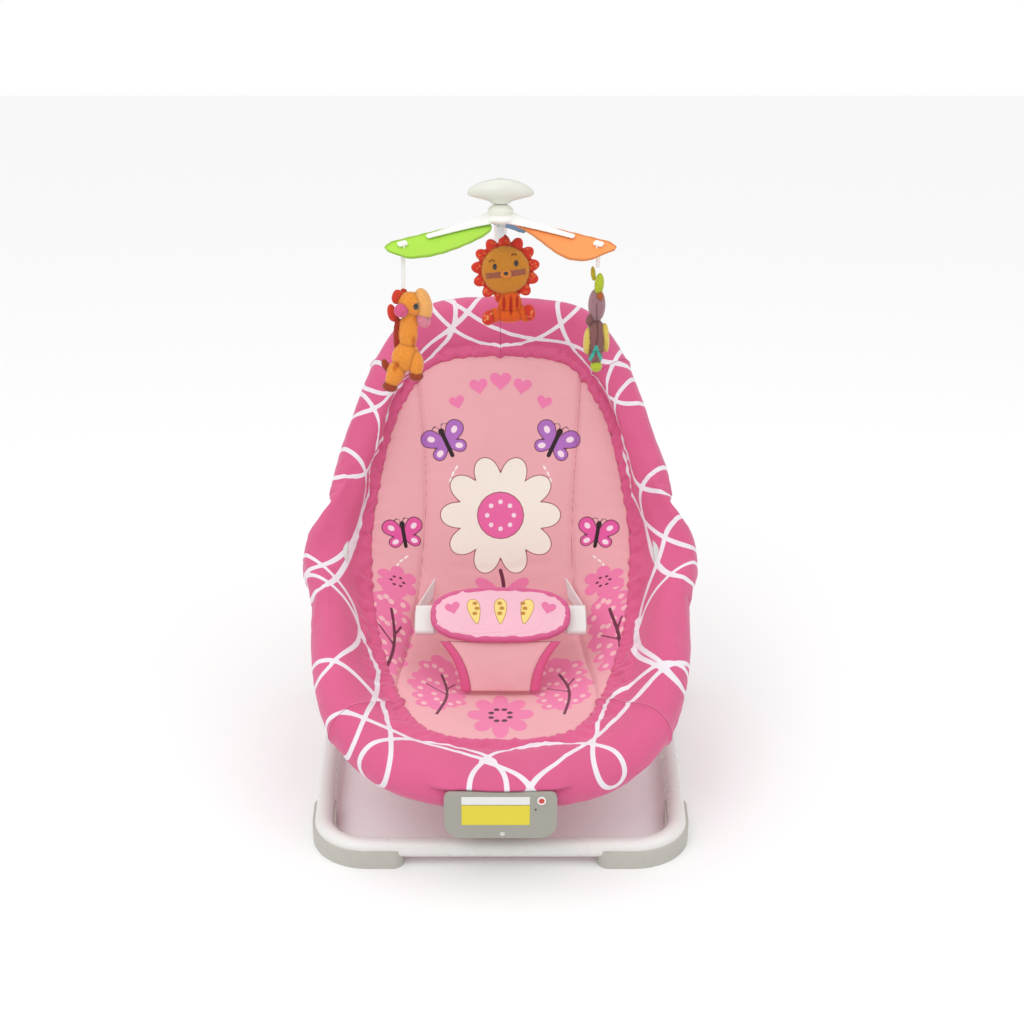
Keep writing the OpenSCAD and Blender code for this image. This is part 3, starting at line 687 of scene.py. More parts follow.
def resample(g, nu, nv, close_u, close_v):
    """A grid of values at nu x nv even places, by cubic splines both ways."""

    def along(a, n, closed):
        k = a.shape[0]
        t = np.arange(k, dtype=float)
        at = np.linspace(0, k, n, endpoint=False) if closed else np.linspace(0, k - 1, n)
        i = np.floor(at).astype(int)
        f = (at - i).reshape((-1,) + (1,) * (a.ndim - 1))
        pick = (lambda j: a[np.mod(j, k)]) if closed else (lambda j: a[np.clip(j, 0, k - 1)])
        p0, p1, p2, p3 = pick(i - 1), pick(i), pick(i + 1), pick(i + 2)
        cubic = 2 * p0 - 5 * p1 + 4 * p2 - p3 + f * (3 * (p1 - p2) + p3 - p0)
        return p1 + 0.5 * f * (p2 - p0 + f * cubic)

    return along(along(g, nu, close_u).swapaxes(0, 1), nv, close_v).swapaxes(0, 1)


# ---- rim
SIM_U, SIM_V = 300, 44
RIM_U, RIM_V = 860, 100
rim_coarse, _, _, RIM_LONG, RIM_ROUND, RIM_TV = ring_grid(SIM_U, SIM_V)
rim_fine, rim_u, rim_v, *_ = ring_grid(RIM_U, RIM_V)
SEAM_V = RIM_TV[6]
rim_uu, rim_vv = np.meshgrid(rim_u, rim_v, indexing="ij")
rim_signed_v = np.where(rim_vv > (SEAM_V + RIM_ROUND) / 2, rim_vv - RIM_ROUND, rim_vv)
rim_signed_u = np.where(rim_uu > RIM_LONG / 2, rim_uu - RIM_LONG, rim_uu)

blown = new_object("blown_rim", row(rim_coarse).reshape(-1, 3),
                   grid_faces(SIM_U, SIM_V, True, True, flip=True))
v = np.linspace(0, RIM_ROUND, SIM_V, endpoint=False)
at_seam = np.clip(1 - np.abs(v - SEAM_V) / 9, 0, 1)
underneath = np.clip((v - SEAM_V - 4) / 10, 0, 1) * (v < RIM_ROUND - 30)
hold = np.clip(at_seam + underneath, 0, 1)
move = pressed(blown, np.tile(hold, SIM_U), pressure=5.0, cap=0.0065, shrink=-0.05, bend=0.6)
bpy.data.objects.remove(blown)
rim_move = resample(move.reshape(SIM_U, SIM_V, 3), RIM_U, RIM_V, True, True) * 1000

rim_normal = -grid_normals(rim_fine, True, True)
inner = np.exp(-((rim_signed_v - SEAM_V) / 20) ** 2)
outer = np.exp(-((rim_signed_v + 18) / 30) ** 2)
un = rim_uu / RIM_LONG
soft = ripple(un, rim_vv / RIM_ROUND, [(9, 0.7, 0.3), (14, 0.55, -0.6), (23, 0.35, 0.8)], 3)
pucker = ripple(un, rim_vv / RIM_ROUND, [(61, 0.55, 0.4), (83, 0.4, -0.7), (104, 0.3, 0.5)], 5)
rim_lift = soft + pucker * (0.9 * inner + 0.5 * outer)

# The rim's panels join at its top middle, at both shoulders and at both front corners.
# Each seam is its place round the rim, and its slant.
RIM_SEAMS = [(RIM_LONG / 2, 0.0), (-700, -0.2), (700, 0.2), (-200, -0.1), (200, 0.1)]
seam_line = np.full(rim_uu.shape, FAR)
for at, slant in RIM_SEAMS:
    off = rim_signed_u - at - slant * (rim_signed_v - 50)
    off = np.mod(off + RIM_LONG / 2, RIM_LONG) - RIM_LONG / 2
    seam_line = np.where(np.abs(off) < np.abs(seam_line), off, seam_line)
rim_lift -= 2.0 * np.exp(-((seam_line / 2.6) ** 2)) + 1.0 * np.exp(-((seam_line / 9) ** 2))
# The rim tucks under along the pad's edge
rim_lift -= 2.2 * np.exp(-((rim_signed_v - SEAM_V - 1) / 4.5) ** 2)
rim_points = rim_fine + rim_move + rim_normal * rim_lift[..., None]
# The fabric bulges forward just above the vibration unit, so that the unit tucks up under it
LAP_REACH, LAP_HALF, LAP_FADE, LAP_RISE = 9, 60, 15, 26
unit_top = (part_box("unit_front_cover")[1][2] - HUB_ROW[2]) * 1000 + HUB_YZ[1]
above = rim_points[..., 2] - unit_top
lap = np.clip((LAP_HALF + LAP_FADE - np.abs(rim_signed_u)) / LAP_FADE, 0, 1) * (rim_signed_v < 60)
lap = lap * np.clip((above + 1.5) / 2.5, 0, 1) * np.clip((LAP_RISE - above) / LAP_RISE, 0, 1)
rim_points[..., 1] -= LAP_REACH * lap

# Its underside rests on the unit's housing, so that nothing inside the unit meets it (metres)
HOUSING_GAP, HOUSING_REACH = 0.0008, 0.002
rim_row = row(rim_points)
housing_low, housing_high = (np.array(c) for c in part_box("unit_housing"))
floor_of_rim = housing_high[2] + HOUSING_GAP
upper = np.array([housing_high[0] + HOUSING_REACH, housing_high[1] + HOUSING_REACH, floor_of_rim])
within = np.all((rim_row > housing_low - HOUSING_REACH) & (rim_row < upper), axis=-1)
rim_row[..., 2] = np.where(within, floor_of_rim, rim_row[..., 2])

rim = new_object("seat_rim_cover", rim_row.reshape(-1, 3),
                 grid_faces(RIM_U, RIM_V, True, True, flip=True))
rim_uv = np.column_stack([rim_signed_u.ravel(), rim_signed_v.ravel()])
add_fabric(rim, rim_uv)
add_float(rim, "seam", seam_line.ravel())
band_field = np.full(len(rim_uv), FAR)
for band in LOOPING_BANDS:
    line = looping_band(*band)
    for turn in (-RIM_LONG, 0, RIM_LONG):
        for k in range(0, len(line) - 1, 7):
            stroke(band_field, rim_uv, line[k : k + 8] + [turn, 0], BAND_HALF, False)
add_float(rim, "bands", band_field)


def rim_paint(n, base):
    shade = n.noise(n.attribute("fab", "Vector"), 30.0, 2.0)
    white = n.mix(shade, BAND_DARK, BAND_LIGHT)
    base = n.mix(n.ramp(n.attribute("bands"), 0.25, -0.25), base, white)
    stitch = n.ramp(n.math("ABSOLUTE", n.attribute("seam")), 0.9, 0.3)
    return n.mix(n.math("MULTIPLY", stitch, 0.55), base, SEAM_PINK)

# ---- inner pad: top face on an even grid, with sewn channels, then a rounded edge and an underside
PAD_X, PAD_Y = 190, 330
LEFT_SEAM = [(-118, 40), (-120, 95), (-115, 170), (-100, 320), (-95, 460), (-105, 560), (-112, 608)]
RIGHT_SEAM = [(104, 40), (110, 90), (100, 205), (90, 340), (94, 450), (102, 560), (104, 608)]
pad_grid = coons(PAD_X, PAD_Y)
pad_flat = pad_grid.reshape(-1, 2)
pad_rest = pad_point(pad_flat[:, 0], pad_flat[:, 1]).reshape(PAD_Y, PAD_X, 3)
pad_normal = grid_normals(pad_rest)
if pad_normal[PAD_Y // 2, PAD_X // 2, 2] < 0:
    pad_normal = -pad_normal
outline = smooth_path(np.vstack([PAD_OUTLINE, np.array(PAD_OUTLINE[-2:0:-1]) * [-1, 1]]), 240, closed=True)
edge = edge_distance(pad_flat, outline, np.roll(outline, -1, 0)).reshape(PAD_Y, PAD_X)


def line_distance(points, path, n=90):
    line = smooth_path(path, n)
    return edge_distance(points, line[:-1], line[1:])


left_seam = line_distance(pad_flat, LEFT_SEAM).reshape(PAD_Y, PAD_X)
right_seam = line_distance(pad_flat, RIGHT_SEAM).reshape(PAD_Y, PAD_X)
channel = np.minimum(left_seam, right_seam)
plump = 5.5 * (1 - np.exp(-edge / 16)) * (1 - np.exp(-channel / 14) * 0.75)
plump -= 2.4 * np.exp(-((channel / 3.0) ** 2))
# Cross creases where the pad folds between seat and back, and soft lumps in the filling
pp, qq = pad_grid[..., 0], pad_grid[..., 1]
# Each crease is its depth, place along, wave, width and half length across
CREASES = [(1.5, 196, 4, 5.5, 120), (1.1, 226, 3, 5, 100), (1.3, 168, 3, 6, 90), (0.8, 330, 3, 6, 60)]
crease = 0
for depth, place, wave, width, span in CREASES:
    off = qq - place - 0.10 * np.abs(pp) + wave * np.sin(pp / 31 + place)
    crease = crease + depth * np.exp(-((off / width) ** 2)) * np.exp(-((pp / span) ** 4))
lumps = ripple(pp / 320 + 0.5, qq / 608, [(1, 0.8, 2.2), (2, 0.6, -3.1), (3, 0.4, 4.3)], 11)
gather = ripple(qq / 608, pp / 320, [(31, 0.35, 0.5), (43, 0.28, -0.8), (57, 0.2, 0.6)], 17)
lift = plump - crease + lumps * np.clip(edge / 30, 0, 1)
lift = lift + gather * np.exp(-edge / 14) + 0.7 * gather * np.exp(-channel / 9)
pad_top = pad_rest + pad_normal * lift[..., None]

skirt = [(0.0, -3.0), (-2.0, -7.5), (-7.0, -11.5)]
ring_idx = grid_border(PAD_Y, PAD_X)
flat_top, flat_normal = pad_top.reshape(-1, 3), pad_normal.reshape(-1, 3)
ring, ring_n = flat_top[ring_idx], flat_normal[ring_idx]
tangent = np.roll(ring, -1, 0) - np.roll(ring, 1, 0)
outward = np.cross(tangent, ring_n)
outward /= np.linalg.norm(outward, axis=1, keepdims=True)
centre = ring.mean(0)
if np.sum(outward * (ring - centre)) < 0:
    outward = -outward
verts, faces = [flat_top], [grid_faces(PAD_Y, PAD_X)]
labels = [pad_flat]
count, last = len(flat_top), ring_idx
for out, down in skirt:
    verts.append(ring + outward * out + ring_n * down)
    labels.append(pad_flat[ring_idx])
    now = count + np.arange(len(ring_idx))
    faces.append(np.stack([last, now, np.roll(now, -1), np.roll(last, -1)], 1))
    last, count = now, count + len(ring_idx)
under = (pad_rest - pad_normal * 12.0)[1:-1, 1:-1]
verts.append(under.reshape(-1, 3))
labels.append(pad_grid[1:-1, 1:-1].reshape(-1, 2))
# the underside's grid, joined to the last ring
uy, ux = PAD_Y - 2, PAD_X - 2
under_id = count + np.arange(uy * ux).reshape(uy, ux)
full_id = np.full((PAD_Y, PAD_X), -1)
full_id[1:-1, 1:-1] = under_id
full_id.ravel()[ring_idx] = last
a, b, c, d = full_id[:-1, :-1], full_id[1:, :-1], full_id[1:, 1:], full_id[:-1, 1:]
faces.append(np.stack([a, d, c, b], -1).reshape(-1, 4))
pad = tidy_normals(new_object("seat_inner_pad", row(np.vstack(verts)), np.vstack(faces)))
pad_pq = np.vstack(labels)
add_fabric(pad, pad_pq)
seam_all = np.minimum(line_distance(pad_pq, LEFT_SEAM), line_distance(pad_pq, RIGHT_SEAM))
add_float(pad, "seam", seam_all)

# ---- the pad's print: a plain garden pattern, one distance field per colour, laid in this order
pad_fields = {}


def field(name):
    return pad_fields.setdefault(name, np.full(len(pad_pq), FAR))


def paint_blob(name, outline, smooth=True):
    blob(field(name), pad_pq, outline, smooth)


def paint_line(name, path, half, smooth=True):
    stroke(field(name), pad_pq, path, half, smooth)


def around(x, y, radius, turn):
    return x + radius * math.cos(math.radians(turn)), y + radius * math.sin(math.radians(turn))


def flower(p, q, size, petals, tall=1.0):
    """Round petals about a middle ringed with seeds; tall stretches it along the pad."""
    spread = np.array([1.0, tall])
    for k in range(petals):
        petal = petal_shape(0, 0, size, size * 5.2 / petals, 90 + 360 * k / petals)
        paint_blob("motif", petal * spread + (p, q))
        seed = oval(*around(0, 0, size * 0.3, 90 + 360 * (k + 0.5) / petals), size * 0.09, size * 0.07)
        paint_blob("plum", seed * spread + (p, q), False)
    paint_blob("motif", oval(0, 0, size * 0.5, size * 0.5) * spread + (p, q), False)


# Leaves at this turn from one to the next spread evenly (radians)
GOLDEN_TURN = 2.39996


def bush(p, q, wide, high, count):
    """A tree's crown: even round leaves with a pale dot on every other one."""
    for k in range(count):
        r, a = math.sqrt((k + 0.5) / count), GOLDEN_TURN * k
        x, y = p + wide * r * math.cos(a), q + high * r * math.sin(a)
        paint_blob("tree", oval(x, y, 9.5, 9.5, n=14), False)
        if k % 2:
            paint_blob("dot", oval(x, y, 3.4, 4.4, n=12), False)
    bend = wide * 0.3
    paint_line("stem", [(p, q - high - 14), (p + bend, q - high * 0.3), (p, q + high * 0.5)], 1.7)
    for side, rise in ((-1, 0.0), (1, 0.2)):
        twig = [(p + bend * 0.8, q + high * (rise - 0.3)), (p + side * wide * 0.55, q + high * rise)]
        paint_line("stem", twig, 1.1)


def butterfly(wing, inner, x, y, size, turn):
    """Two pairs of rounded wings either side of a straight body."""
    for side in (-1, 1):
        for angle, scale in ((48, 1.0), (118, 0.7)):
            a = turn + side * angle
            paint_blob(wing, petal_shape(x, y, size * scale, size * 0.85 * scale, a))
            spot = oval(*around(x, y, size * scale * 0.64, a), size * 0.15, size * 0.11, a)
            paint_blob(inner, spot, False)
    ends = [around(x, y, -size * 0.45, turn), around(x, y, size * 0.45, turn)]
    paint_line("body", ends, size * 0.08, False)
    head = around(x, y, size * 0.55, turn)
    paint_blob("body", oval(*head, size * 0.12, size * 0.12), False)
    for side in (-1, 1):
        paint_line("body", [head, around(*head, size * 0.3, turn + side * 30),
                            around(*head, size * 0.36, turn + side * 62)], 0.7)


# An arch of hearts under the top edge
for k in range(-2, 3):
    paint_blob("motif", heart_shape(28 * k, 574 - 7 * k * k, 14 - 2 * abs(k), -8 * k), False)
# One large daisy fills the middle of the back, on a stem with two leaves
DAISY, DAISY_SIZE = (0, 400), 76
for k in range(10):
    paint_blob("daisy", petal_shape(*DAISY, DAISY_SIZE, 43, 36 * k))
paint_blob("daisy_heart", oval(*DAISY, 29, 29), False)
for k in range(8):
    paint_blob("pale", oval(*around(*DAISY, 17, 45 * k), 3.0, 3.0), False)
paint_line("stem", [(0, 330), (4, 308), (0, 284)], 2.4)
for side in (-1, 1):
    paint_blob("motif", petal_shape(2, 300, 38, 19, 90 - side * 62))
# Everything else stands in mirrored pairs about the pad's middle line
flower(0, 60, 38, 8, 1.5)
PAIRED_FLOWERS = [(130, 300, 26, 6), (50, 266, 16, 5)]
PAIRED_BUSHES = [(72, 130, 30, 64, 42), (136, 210, 22, 80, 46)]
PAIRED_BUTTERFLIES = [("purple", 68, 490, 34, 25), ("magenta", 122, 370, 30, 10)]
for side in (-1, 1):
    for p, q, size, petals in PAIRED_FLOWERS:
        flower(side * p, q, size, petals)
    for p, q, wide, high, count in PAIRED_BUSHES:
        bush(side * p, q, wide, high, count)
    # Butterflies fly up and outward, each with a dashed line behind it
    for wing, p, q, size, lean in PAIRED_BUTTERFLIES:
        turn = 90 - side * lean
        butterfly(wing, "lilac", side * p, q, size, turn)
        trail = [around(side * p, q, size * reach, turn + 180 + side * bend)
                 for reach, bend in ((0.9, 0), (1.6, 20), (2.2, 6), (2.9, 18))]
        dashes(field("dash"), pad_pq, trail, 1.1)
for name, values in pad_fields.items():
    add_float(pad, name, values)

PAD_LAYERS = [
    ("tree", MOTIF_PINK), ("dot", DOT_PINK), ("dash", WHITE), ("stem", BRANCH), ("motif", MOTIF_PINK),
    ("plum", PLUM), ("daisy", CREAM), ("daisy_heart", DAISY_PINK), ("pale", PALE),
    ("purple", PURPLE), ("magenta", MAGENTA), ("lilac", PALE), ("body", DARK),
]
OUTLINED = {"daisy": BROWN, "daisy_heart": BROWN, "purple": PLUM, "magenta": PLUM}


def pad_paint(n, base):
    for name, colour in PAD_LAYERS:
        d = n.attribute(name)
        if name in OUTLINED:
            base = n.mix(n.ramp(d, 1.5, 0.7), base, OUTLINED[name])
        base = n.mix(n.ramp(d, 0.3, -0.3), base, colour)
    stitch = n.ramp(n.attribute("seam"), 0.9, 0.3)
    return n.mix(n.math("MULTIPLY", stitch, 0.5), base, SEAM_PINK)

# ---- materials of the seat cover, and the CAD pieces it hides
RIM_CLOTH = fabric("rim_cloth", RIM_PINK, 0.88, 0.3, paint=rim_paint, folds=0.35, vary=0.05)
PAD_CLOTH = fabric("pad_cloth", PAD_PINK, 0.9, 0.3, paint=pad_paint, folds=0.22, vary=0.03)
slot_all(rim, RIM_CLOTH)
slot_all(pad, PAD_CLOTH)
for piece in (rim, pad):
    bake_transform(piece)
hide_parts("seat_roll", "back_roll", "left_seat_side", "right_seat_side")
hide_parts("seat_pan", "back_panel")

# ---- backing sheet under the pad, tucked into the rim
BACK_X, BACK_Y = 121, 240
sheet_flat = coons(BACK_X, BACK_Y)
sheet_pq = sheet_flat.reshape(-1, 2)
sheet_pq = np.column_stack([sheet_pq[:, 0] * 1.03, 304 + (sheet_pq[:, 1] - 304) * 1.015])
sheet_rest = pad_point(sheet_pq[:, 0], sheet_pq[:, 1]).reshape(BACK_Y, BACK_X, 3)
sheet_n = grid_normals(sheet_rest)
if sheet_n[BACK_Y // 2, BACK_X // 2, 2] < 0:
    sheet_n = -sheet_n
back_p, back_q = sheet_flat[..., 0], sheet_flat[..., 1]
sag = ripple(back_p / 320 + 0.5, back_q / 608, [(2, 0.8, 2.0), (3, 0.5, 5.0), (5, 0.4, 3.0)], 23)
# Sewn channels draw the backing in along its middle and across the hinge
back_seam = np.minimum(np.abs(back_p), np.abs(back_q - 262 - 0.08 * np.abs(back_p)))
sag -= 3.2 * np.exp(-((back_seam / 5) ** 2)) - 2.0 * (1 - np.exp(-back_seam / 30))
near_side = sheet_rest - sheet_n * (14.0 + sag[..., None] * 0.4)
far_side = sheet_rest - sheet_n * (19.0 + sag[..., None])
shell = two_sided("seat_backing", near_side, far_side)
add_fabric(shell, np.tile(sheet_pq, (2, 1)))
add_float(shell, "seam", np.tile(back_seam.ravel(), 2))


def backing_paint(n, base):
    return n.mix(n.math("MULTIPLY", n.ramp(n.attribute("seam"), 1.0, 0.3), 0.5), base, SEAM_PINK)


slot_all(shell, fabric("backing_cloth", PAD_PINK, 0.9, 0.25, paint=backing_paint, folds=0.5, vary=0.05))
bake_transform(shell)


# ---------------------------------------------------------------- finishes of the CAD pieces that stay
TUBE = plastic("tube_white", linear("E4E2DF"), 0.3, 0.06, coat=0.3, vary=0.015)
STEEL = metal("steel", (0.62, 0.62, 0.61), 0.32)
FOOT = plastic("foot_plastic", linear("BBB8B0"), 0.5, 0.3, vary=0.03)
HUB = plastic("hub_plastic", linear("C9C9C6"), 0.5, 0.3)


def two_tone(name, node, first, second, split, rough, coat):
    """Plastic of two colours, the second where split(nodes, x, z) is 1, in mm from the node's middle."""
    n = Nodes(name)
    middle = (Vector(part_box(node)[0]) + Vector(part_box(node)[1])) / 2
    parts = n.add("SeparateXYZ", None, Vector=n.place()).outputs
    x, z = (n.math("MULTIPLY", n.math("SUBTRACT", parts[k], middle[k]), 1000.0) for k in (0, 2))
    base = n.mix(split(n, x, z), mottled(n, n.place(), first, 0.02, 14.0), second)
    normal = n.bump(n.noise(n.place(), 700.0, 3.0, 0.6), 0.05, 0.0002)
    return n.finish(base, rough, normal, Coat_Weight=coat, Coat_Roughness=0.25)


def ring_split(n, x, z):
    """1 inside the button's coloured middle."""
    reach = n.math("SQRT", n.math("ADD", n.math("MULTIPLY", x, x), n.math("MULTIPLY", z, z)))
    return n.ramp(reach, BUTTON_DOT + 0.2, BUTTON_DOT - 0.2)


def plate_split(n, x, z):
    """1 on the upper plate."""
    return n.ramp(z, PLATE_STEP - 0.2, PLATE_STEP + 0.2)


BUTTON_DOT = 3.0
# The gap between the two plates lies this far above the middle of both
PLATE_STEP = 7.0
UNIT = plastic("unit_plastic", linear("A09E94"), 0.5, 0.4, vary=0.03)
BUTTON = two_tone("button_two_tone", "power_button", linear("E9E6E2"), linear("C8332E"), ring_split, 0.28, 0.5)
LENS = plastic("lens", linear("23201F"), 0.15, 0.02, coat=0.6)
LABEL = two_tone("label_film", "label_plates", linear("DFCE22"), linear("E4E3E0"), plate_split, 0.32, 0.4)
WEBBING = fabric("webbing", linear("F1F0EE"), 0.75, 0.2, pitch=0.0016, strength=0.9, where=None)
NODE_FINISH = {
    TUBE: ["base_tube", "spring_arms", "seat_frame", "back_frame", "mast_tube"],
    STEEL: ["foot_screws", "arm_pins", "hub_bolts", "bracket_screws", "mast_pin", "hood_screws", "spindle",
            "spindle_nut", "unit_screws", "motor"],
    FOOT: ["front_feet", "rear_feet", "arm_clamps", "mast_bracket"],
    HUB: ["seat_hubs", "back_hubs", "unit_clamps"],
    UNIT: ["unit_front_cover", "unit_housing", "unit_back_plate", "battery_door"],
    BUTTON: ["power_button"],
    LENS: ["indicator_light"],
    LABEL: ["label_plates"],
    plastic("battery_case", (0.05, 0.05, 0.055), 0.3, 0.05): ["batteries"],
    metal("contact_brass", (0.78, 0.6, 0.28), 0.3): ["battery_contacts", "motor_weight"],
    plastic("circuit", (0.03, 0.2, 0.08), 0.4, 0.3, vary=0.2): ["circuit_board"],
    plastic("hood_plastic", linear("E9E8DC"), 0.32, 0.08, coat=0.3): ["hood_top", "hood_base", "spinner_hub"],
    plastic("spider_plastic", linear("F2F1EC"), 0.35, 0.06, coat=0.3): ["spider"],
    plastic("buckle_plastic", linear("DFDCD8"), 0.3, 0.06, coat=0.35):
        ["strap_receivers", "left_tongue", "right_tongue"],
    WEBBING: ["waist_straps", "left_tail", "right_tail"],
    fabric("panel_cloth", PAD_PINK, 0.9, 0.3, where=None, folds=0.3): ["crotch_panel"],
    fabric("waist_cloth", PAD_PINK, 0.85, 0.3, where=None): ["waist_pad"],
    fabric("ribbon_cloth", linear("F4F3F0"), 0.7, 0.2, where=None):
        ["left_ribbon", "rear_ribbon", "right_ribbon"],
}
for name, node, colour in [("wing_green_cloth", "left_wing", "B4E24C"),
                           ("wing_orange_cloth", "right_wing", "FF9A52"),
                           ("wing_blue_cloth", "rear_wing", "3F86B0")]:
    NODE_FINISH[fabric(name, linear(colour), 0.6, 0.2, where=None)] = [node]
for name, node, colour in [("toy_orange_cloth", "left_toy", "F09A3A"),
                           ("toy_red_cloth", "rear_toy", "E5622F"),
                           ("toy_purple_cloth", "right_toy", "9A6A70")]:
    NODE_FINISH[fabric(name, linear(colour), 0.9, 0.5, where=None)] = [node]
for finish, names in NODE_FINISH.items():
    for name in names:
        slot_all(frame["nodes"][name], finish)


# ---------------------------------------------------------------- helpers for closed forms
def loft(name, rings, place=row):
    """A closed form from rings of points (first and last are filled)."""
    r = np.asarray(rings, float)
    n, m = r.shape[:2]
    verts = np.vstack([r.reshape(-1, 3), r[0].mean(0), r[-1].mean(0)])
    faces = [list(f) for f in grid_faces(n, m, False, True)]
    k = np.arange(m)
    faces += [[n * m, j, (j + 1) % m] for j in k]
    faces += [[n * m + 1, (n - 1) * m + (j + 1) % m, (n - 1) * m + j] for j in k]
    return tidy_normals(new_object(name, place(verts), faces))


def tube(name, path, rx, ry=None, m=14, closed=False, up=(0, 0, 1)):
    """A tube of oval section along a path; rx lies across `up`, ry along it. Radii may vary along it."""
    p = np.asarray(path, float)
    n = len(p)
    rx = np.broadcast_to(rx, n)
    ry = rx if ry is None else np.broadcast_to(ry, n)
    t = (np.roll(p, -1, 0) - np.roll(p, 1, 0)) if closed else np.gradient(p, axis=0)
    t /= np.linalg.norm(t, axis=1, keepdims=True)
    up = np.broadcast_to(np.asarray(up, float), p.shape)
    side = np.cross(t, up)
    side /= np.maximum(np.linalg.norm(side, axis=1, keepdims=True), 1e-9)
    lift = np.cross(side, t)
    a = circle(m)
    wide, high = (rx[:, None] * np.cos(a))[..., None], (ry[:, None] * np.sin(a))[..., None]
    rings = p[:, None] + side[:, None] * wide + lift[:, None] * high
    if closed:
        return tidy_normals(new_object(name, row(rings.reshape(-1, 3)), grid_faces(n, m, True, True)))
    return loft(name, rings)


def turn_matrix(rx=0, ry=0, rz=0):
    a, b, c = (math.radians(v) for v in (rx, ry, rz))
    return np.array(Matrix.Rotation(c, 3, "Z") @ Matrix.Rotation(b, 3, "Y") @ Matrix.Rotation(a, 3, "X"))


def join(name, objects):
    """One object from several, in the order given. The several are removed."""
    verts, faces, base = [], [], 0
    for o in objects:
        co = coords_of(o)
        verts.append(co)
        faces += [[base + i for i in p.vertices] for p in o.data.polygons]
        base += len(co)
        bpy.data.objects.remove(o)
    return new_object(name, np.vstack(verts), faces)


def fuse(obj, voxel, smooth):
    """Voxel remesh (metres) and smoothing, applied."""
    mod = obj.modifiers.new("fuse", "REMESH")
    mod.mode = "VOXEL"
    mod.voxel_size = voxel
    mod.use_smooth_shade = True
    soft = obj.modifiers.new("soft", "SMOOTH")
    soft.factor, soft.iterations = 0.5, smooth
    mesh = bpy.data.meshes.new_from_object(obj.evaluated_get(bpy.context.evaluated_depsgraph_get()))
    obj.modifiers.clear()
    obj.data = mesh
    mesh.polygons.foreach_set("use_smooth", np.ones(len(mesh.polygons), bool))
    return obj


def ball(centre, radii, turn=(0, 0, 0), seg=28):
    """Points and faces of a turned ellipsoid, as an object in drawing millimetres."""
    a = np.linspace(0, math.pi, seg // 2 + 1)[1:-1]
    b = circle(seg)
    rings = np.stack([np.outer(np.sin(a), np.cos(b)), np.outer(np.sin(a), np.sin(b)),
                      np.repeat(np.cos(a)[:, None], seg, 1)], -1)
    rings = (rings * radii) @ turn_matrix(*turn).T + centre
    return loft("ball", rings, lambda v: np.asarray(v) / 1000)


def soft_toy(name, at, parts, smooth=5):
    """A stuffed toy from turned ellipsoids: (x, y, z, rx, ry, rz, turn, colour), in millimetres from `at`."""
    balls = [ball(np.array(p[:3]), np.array(p[3:6]), p[6]) for p in parts]
    toy = fuse(join(name, balls), 0.0013, smooth)
    co = coords_of(toy) * 1000
    best = np.full(len(co), 1e9)
    second = best.copy()
    tint = np.zeros((len(co), 3))
    for x, y, z, rx, ry, rz, turn, colour in parts:
        q = ((co - (x, y, z)) @ turn_matrix(*turn)) / (rx, ry, rz)
        d = (np.linalg.norm(q, axis=1) - 1) * min(rx, ry, rz)
        nearer = d < best
        second = np.where(nearer, best, np.minimum(second, d))
        best = np.where(nearer, d, best)
        tint[nearer] = colour
    set_coords(toy, row(co + at))
    return toy, co, tint, second - best


def dab(tint, co, centre, radii, colour, turn=(0, 0, 0), soft=0.12):
    """Paints a patch on a toy where an ellipsoid meets its surface."""
    q = ((co - centre) @ turn_matrix(*turn)) / radii
    w = np.clip((1 + soft - np.linalg.norm(q, axis=1)) / (2 * soft), 0, 1)[:, None]
    tint[:] = tint * (1 - w) + np.array(colour) * w


def bead(name, centre, radii, material, body):
    """A small separate part such as a stitched eye."""
    o = ball(np.array(centre), np.array(radii), seg=20)
    set_coords(o, row(coords_of(o) * 1000))
    slot_all(o, material)
    o.name = name
    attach(o, body)


# ---------------------------------------------------------------- waist restraint
def sloped(degrees):
    """Axes of a face tilted up towards the back: across, up its slope, and off its face."""
    c, s = math.cos(math.radians(degrees)), math.sin(math.radians(degrees))
    return np.array([[1, 0, 0], [0, c, s], [0, -s, c]])


PAD_AT, PAD_AXES = np.array([0.0, 159.0, 193.0]), sloped(41)


def on_pad(x, y, z):
    """Waist pad's own frame (across, up its slope, off its face) to drawing millimetres."""
    return PAD_AT + np.stack(np.broadcast_arrays(x, y, z), -1).astype(float) @ PAD_AXES


WAIST_A, WAIST_B, SQUARE = 79.0, 32.0, 2.7
turn = circle(220)
cc, ss = np.cos(turn), np.sin(turn)
round_by = (np.abs(cc) ** SQUARE + np.abs(ss) ** SQUARE) ** (-1 / SQUARE)
ex, ey = WAIST_A * cc * round_by, WAIST_B * ss * round_by
rings = []
for f in np.concatenate([np.linspace(0.02, 0.98, 40), [0.985]]):
    puffed = 12.5 + 3.2 * (1 - f**2.4) + 0.35 * np.sin(turn * 9 + 40 * f) * f**3
    rings.append(on_pad(ex * f, ey * f, puffed))
for f, z in [(1.0, 10.5), (1.005, 6.5), (0.985, 2.8), (0.93, 1.2), (0.7, 1.0), (0.3, 1.0)]:
    rings.append(on_pad(ex * f, ey * f, np.full(220, z)))
waist = loft("waist_pad_cushion", rings)
co = (coords_of(waist) - row(PAD_AT)) * 1000 @ PAD_AXES.T
waist_xy = co[:, :2]
add_fabric(waist, waist_xy)
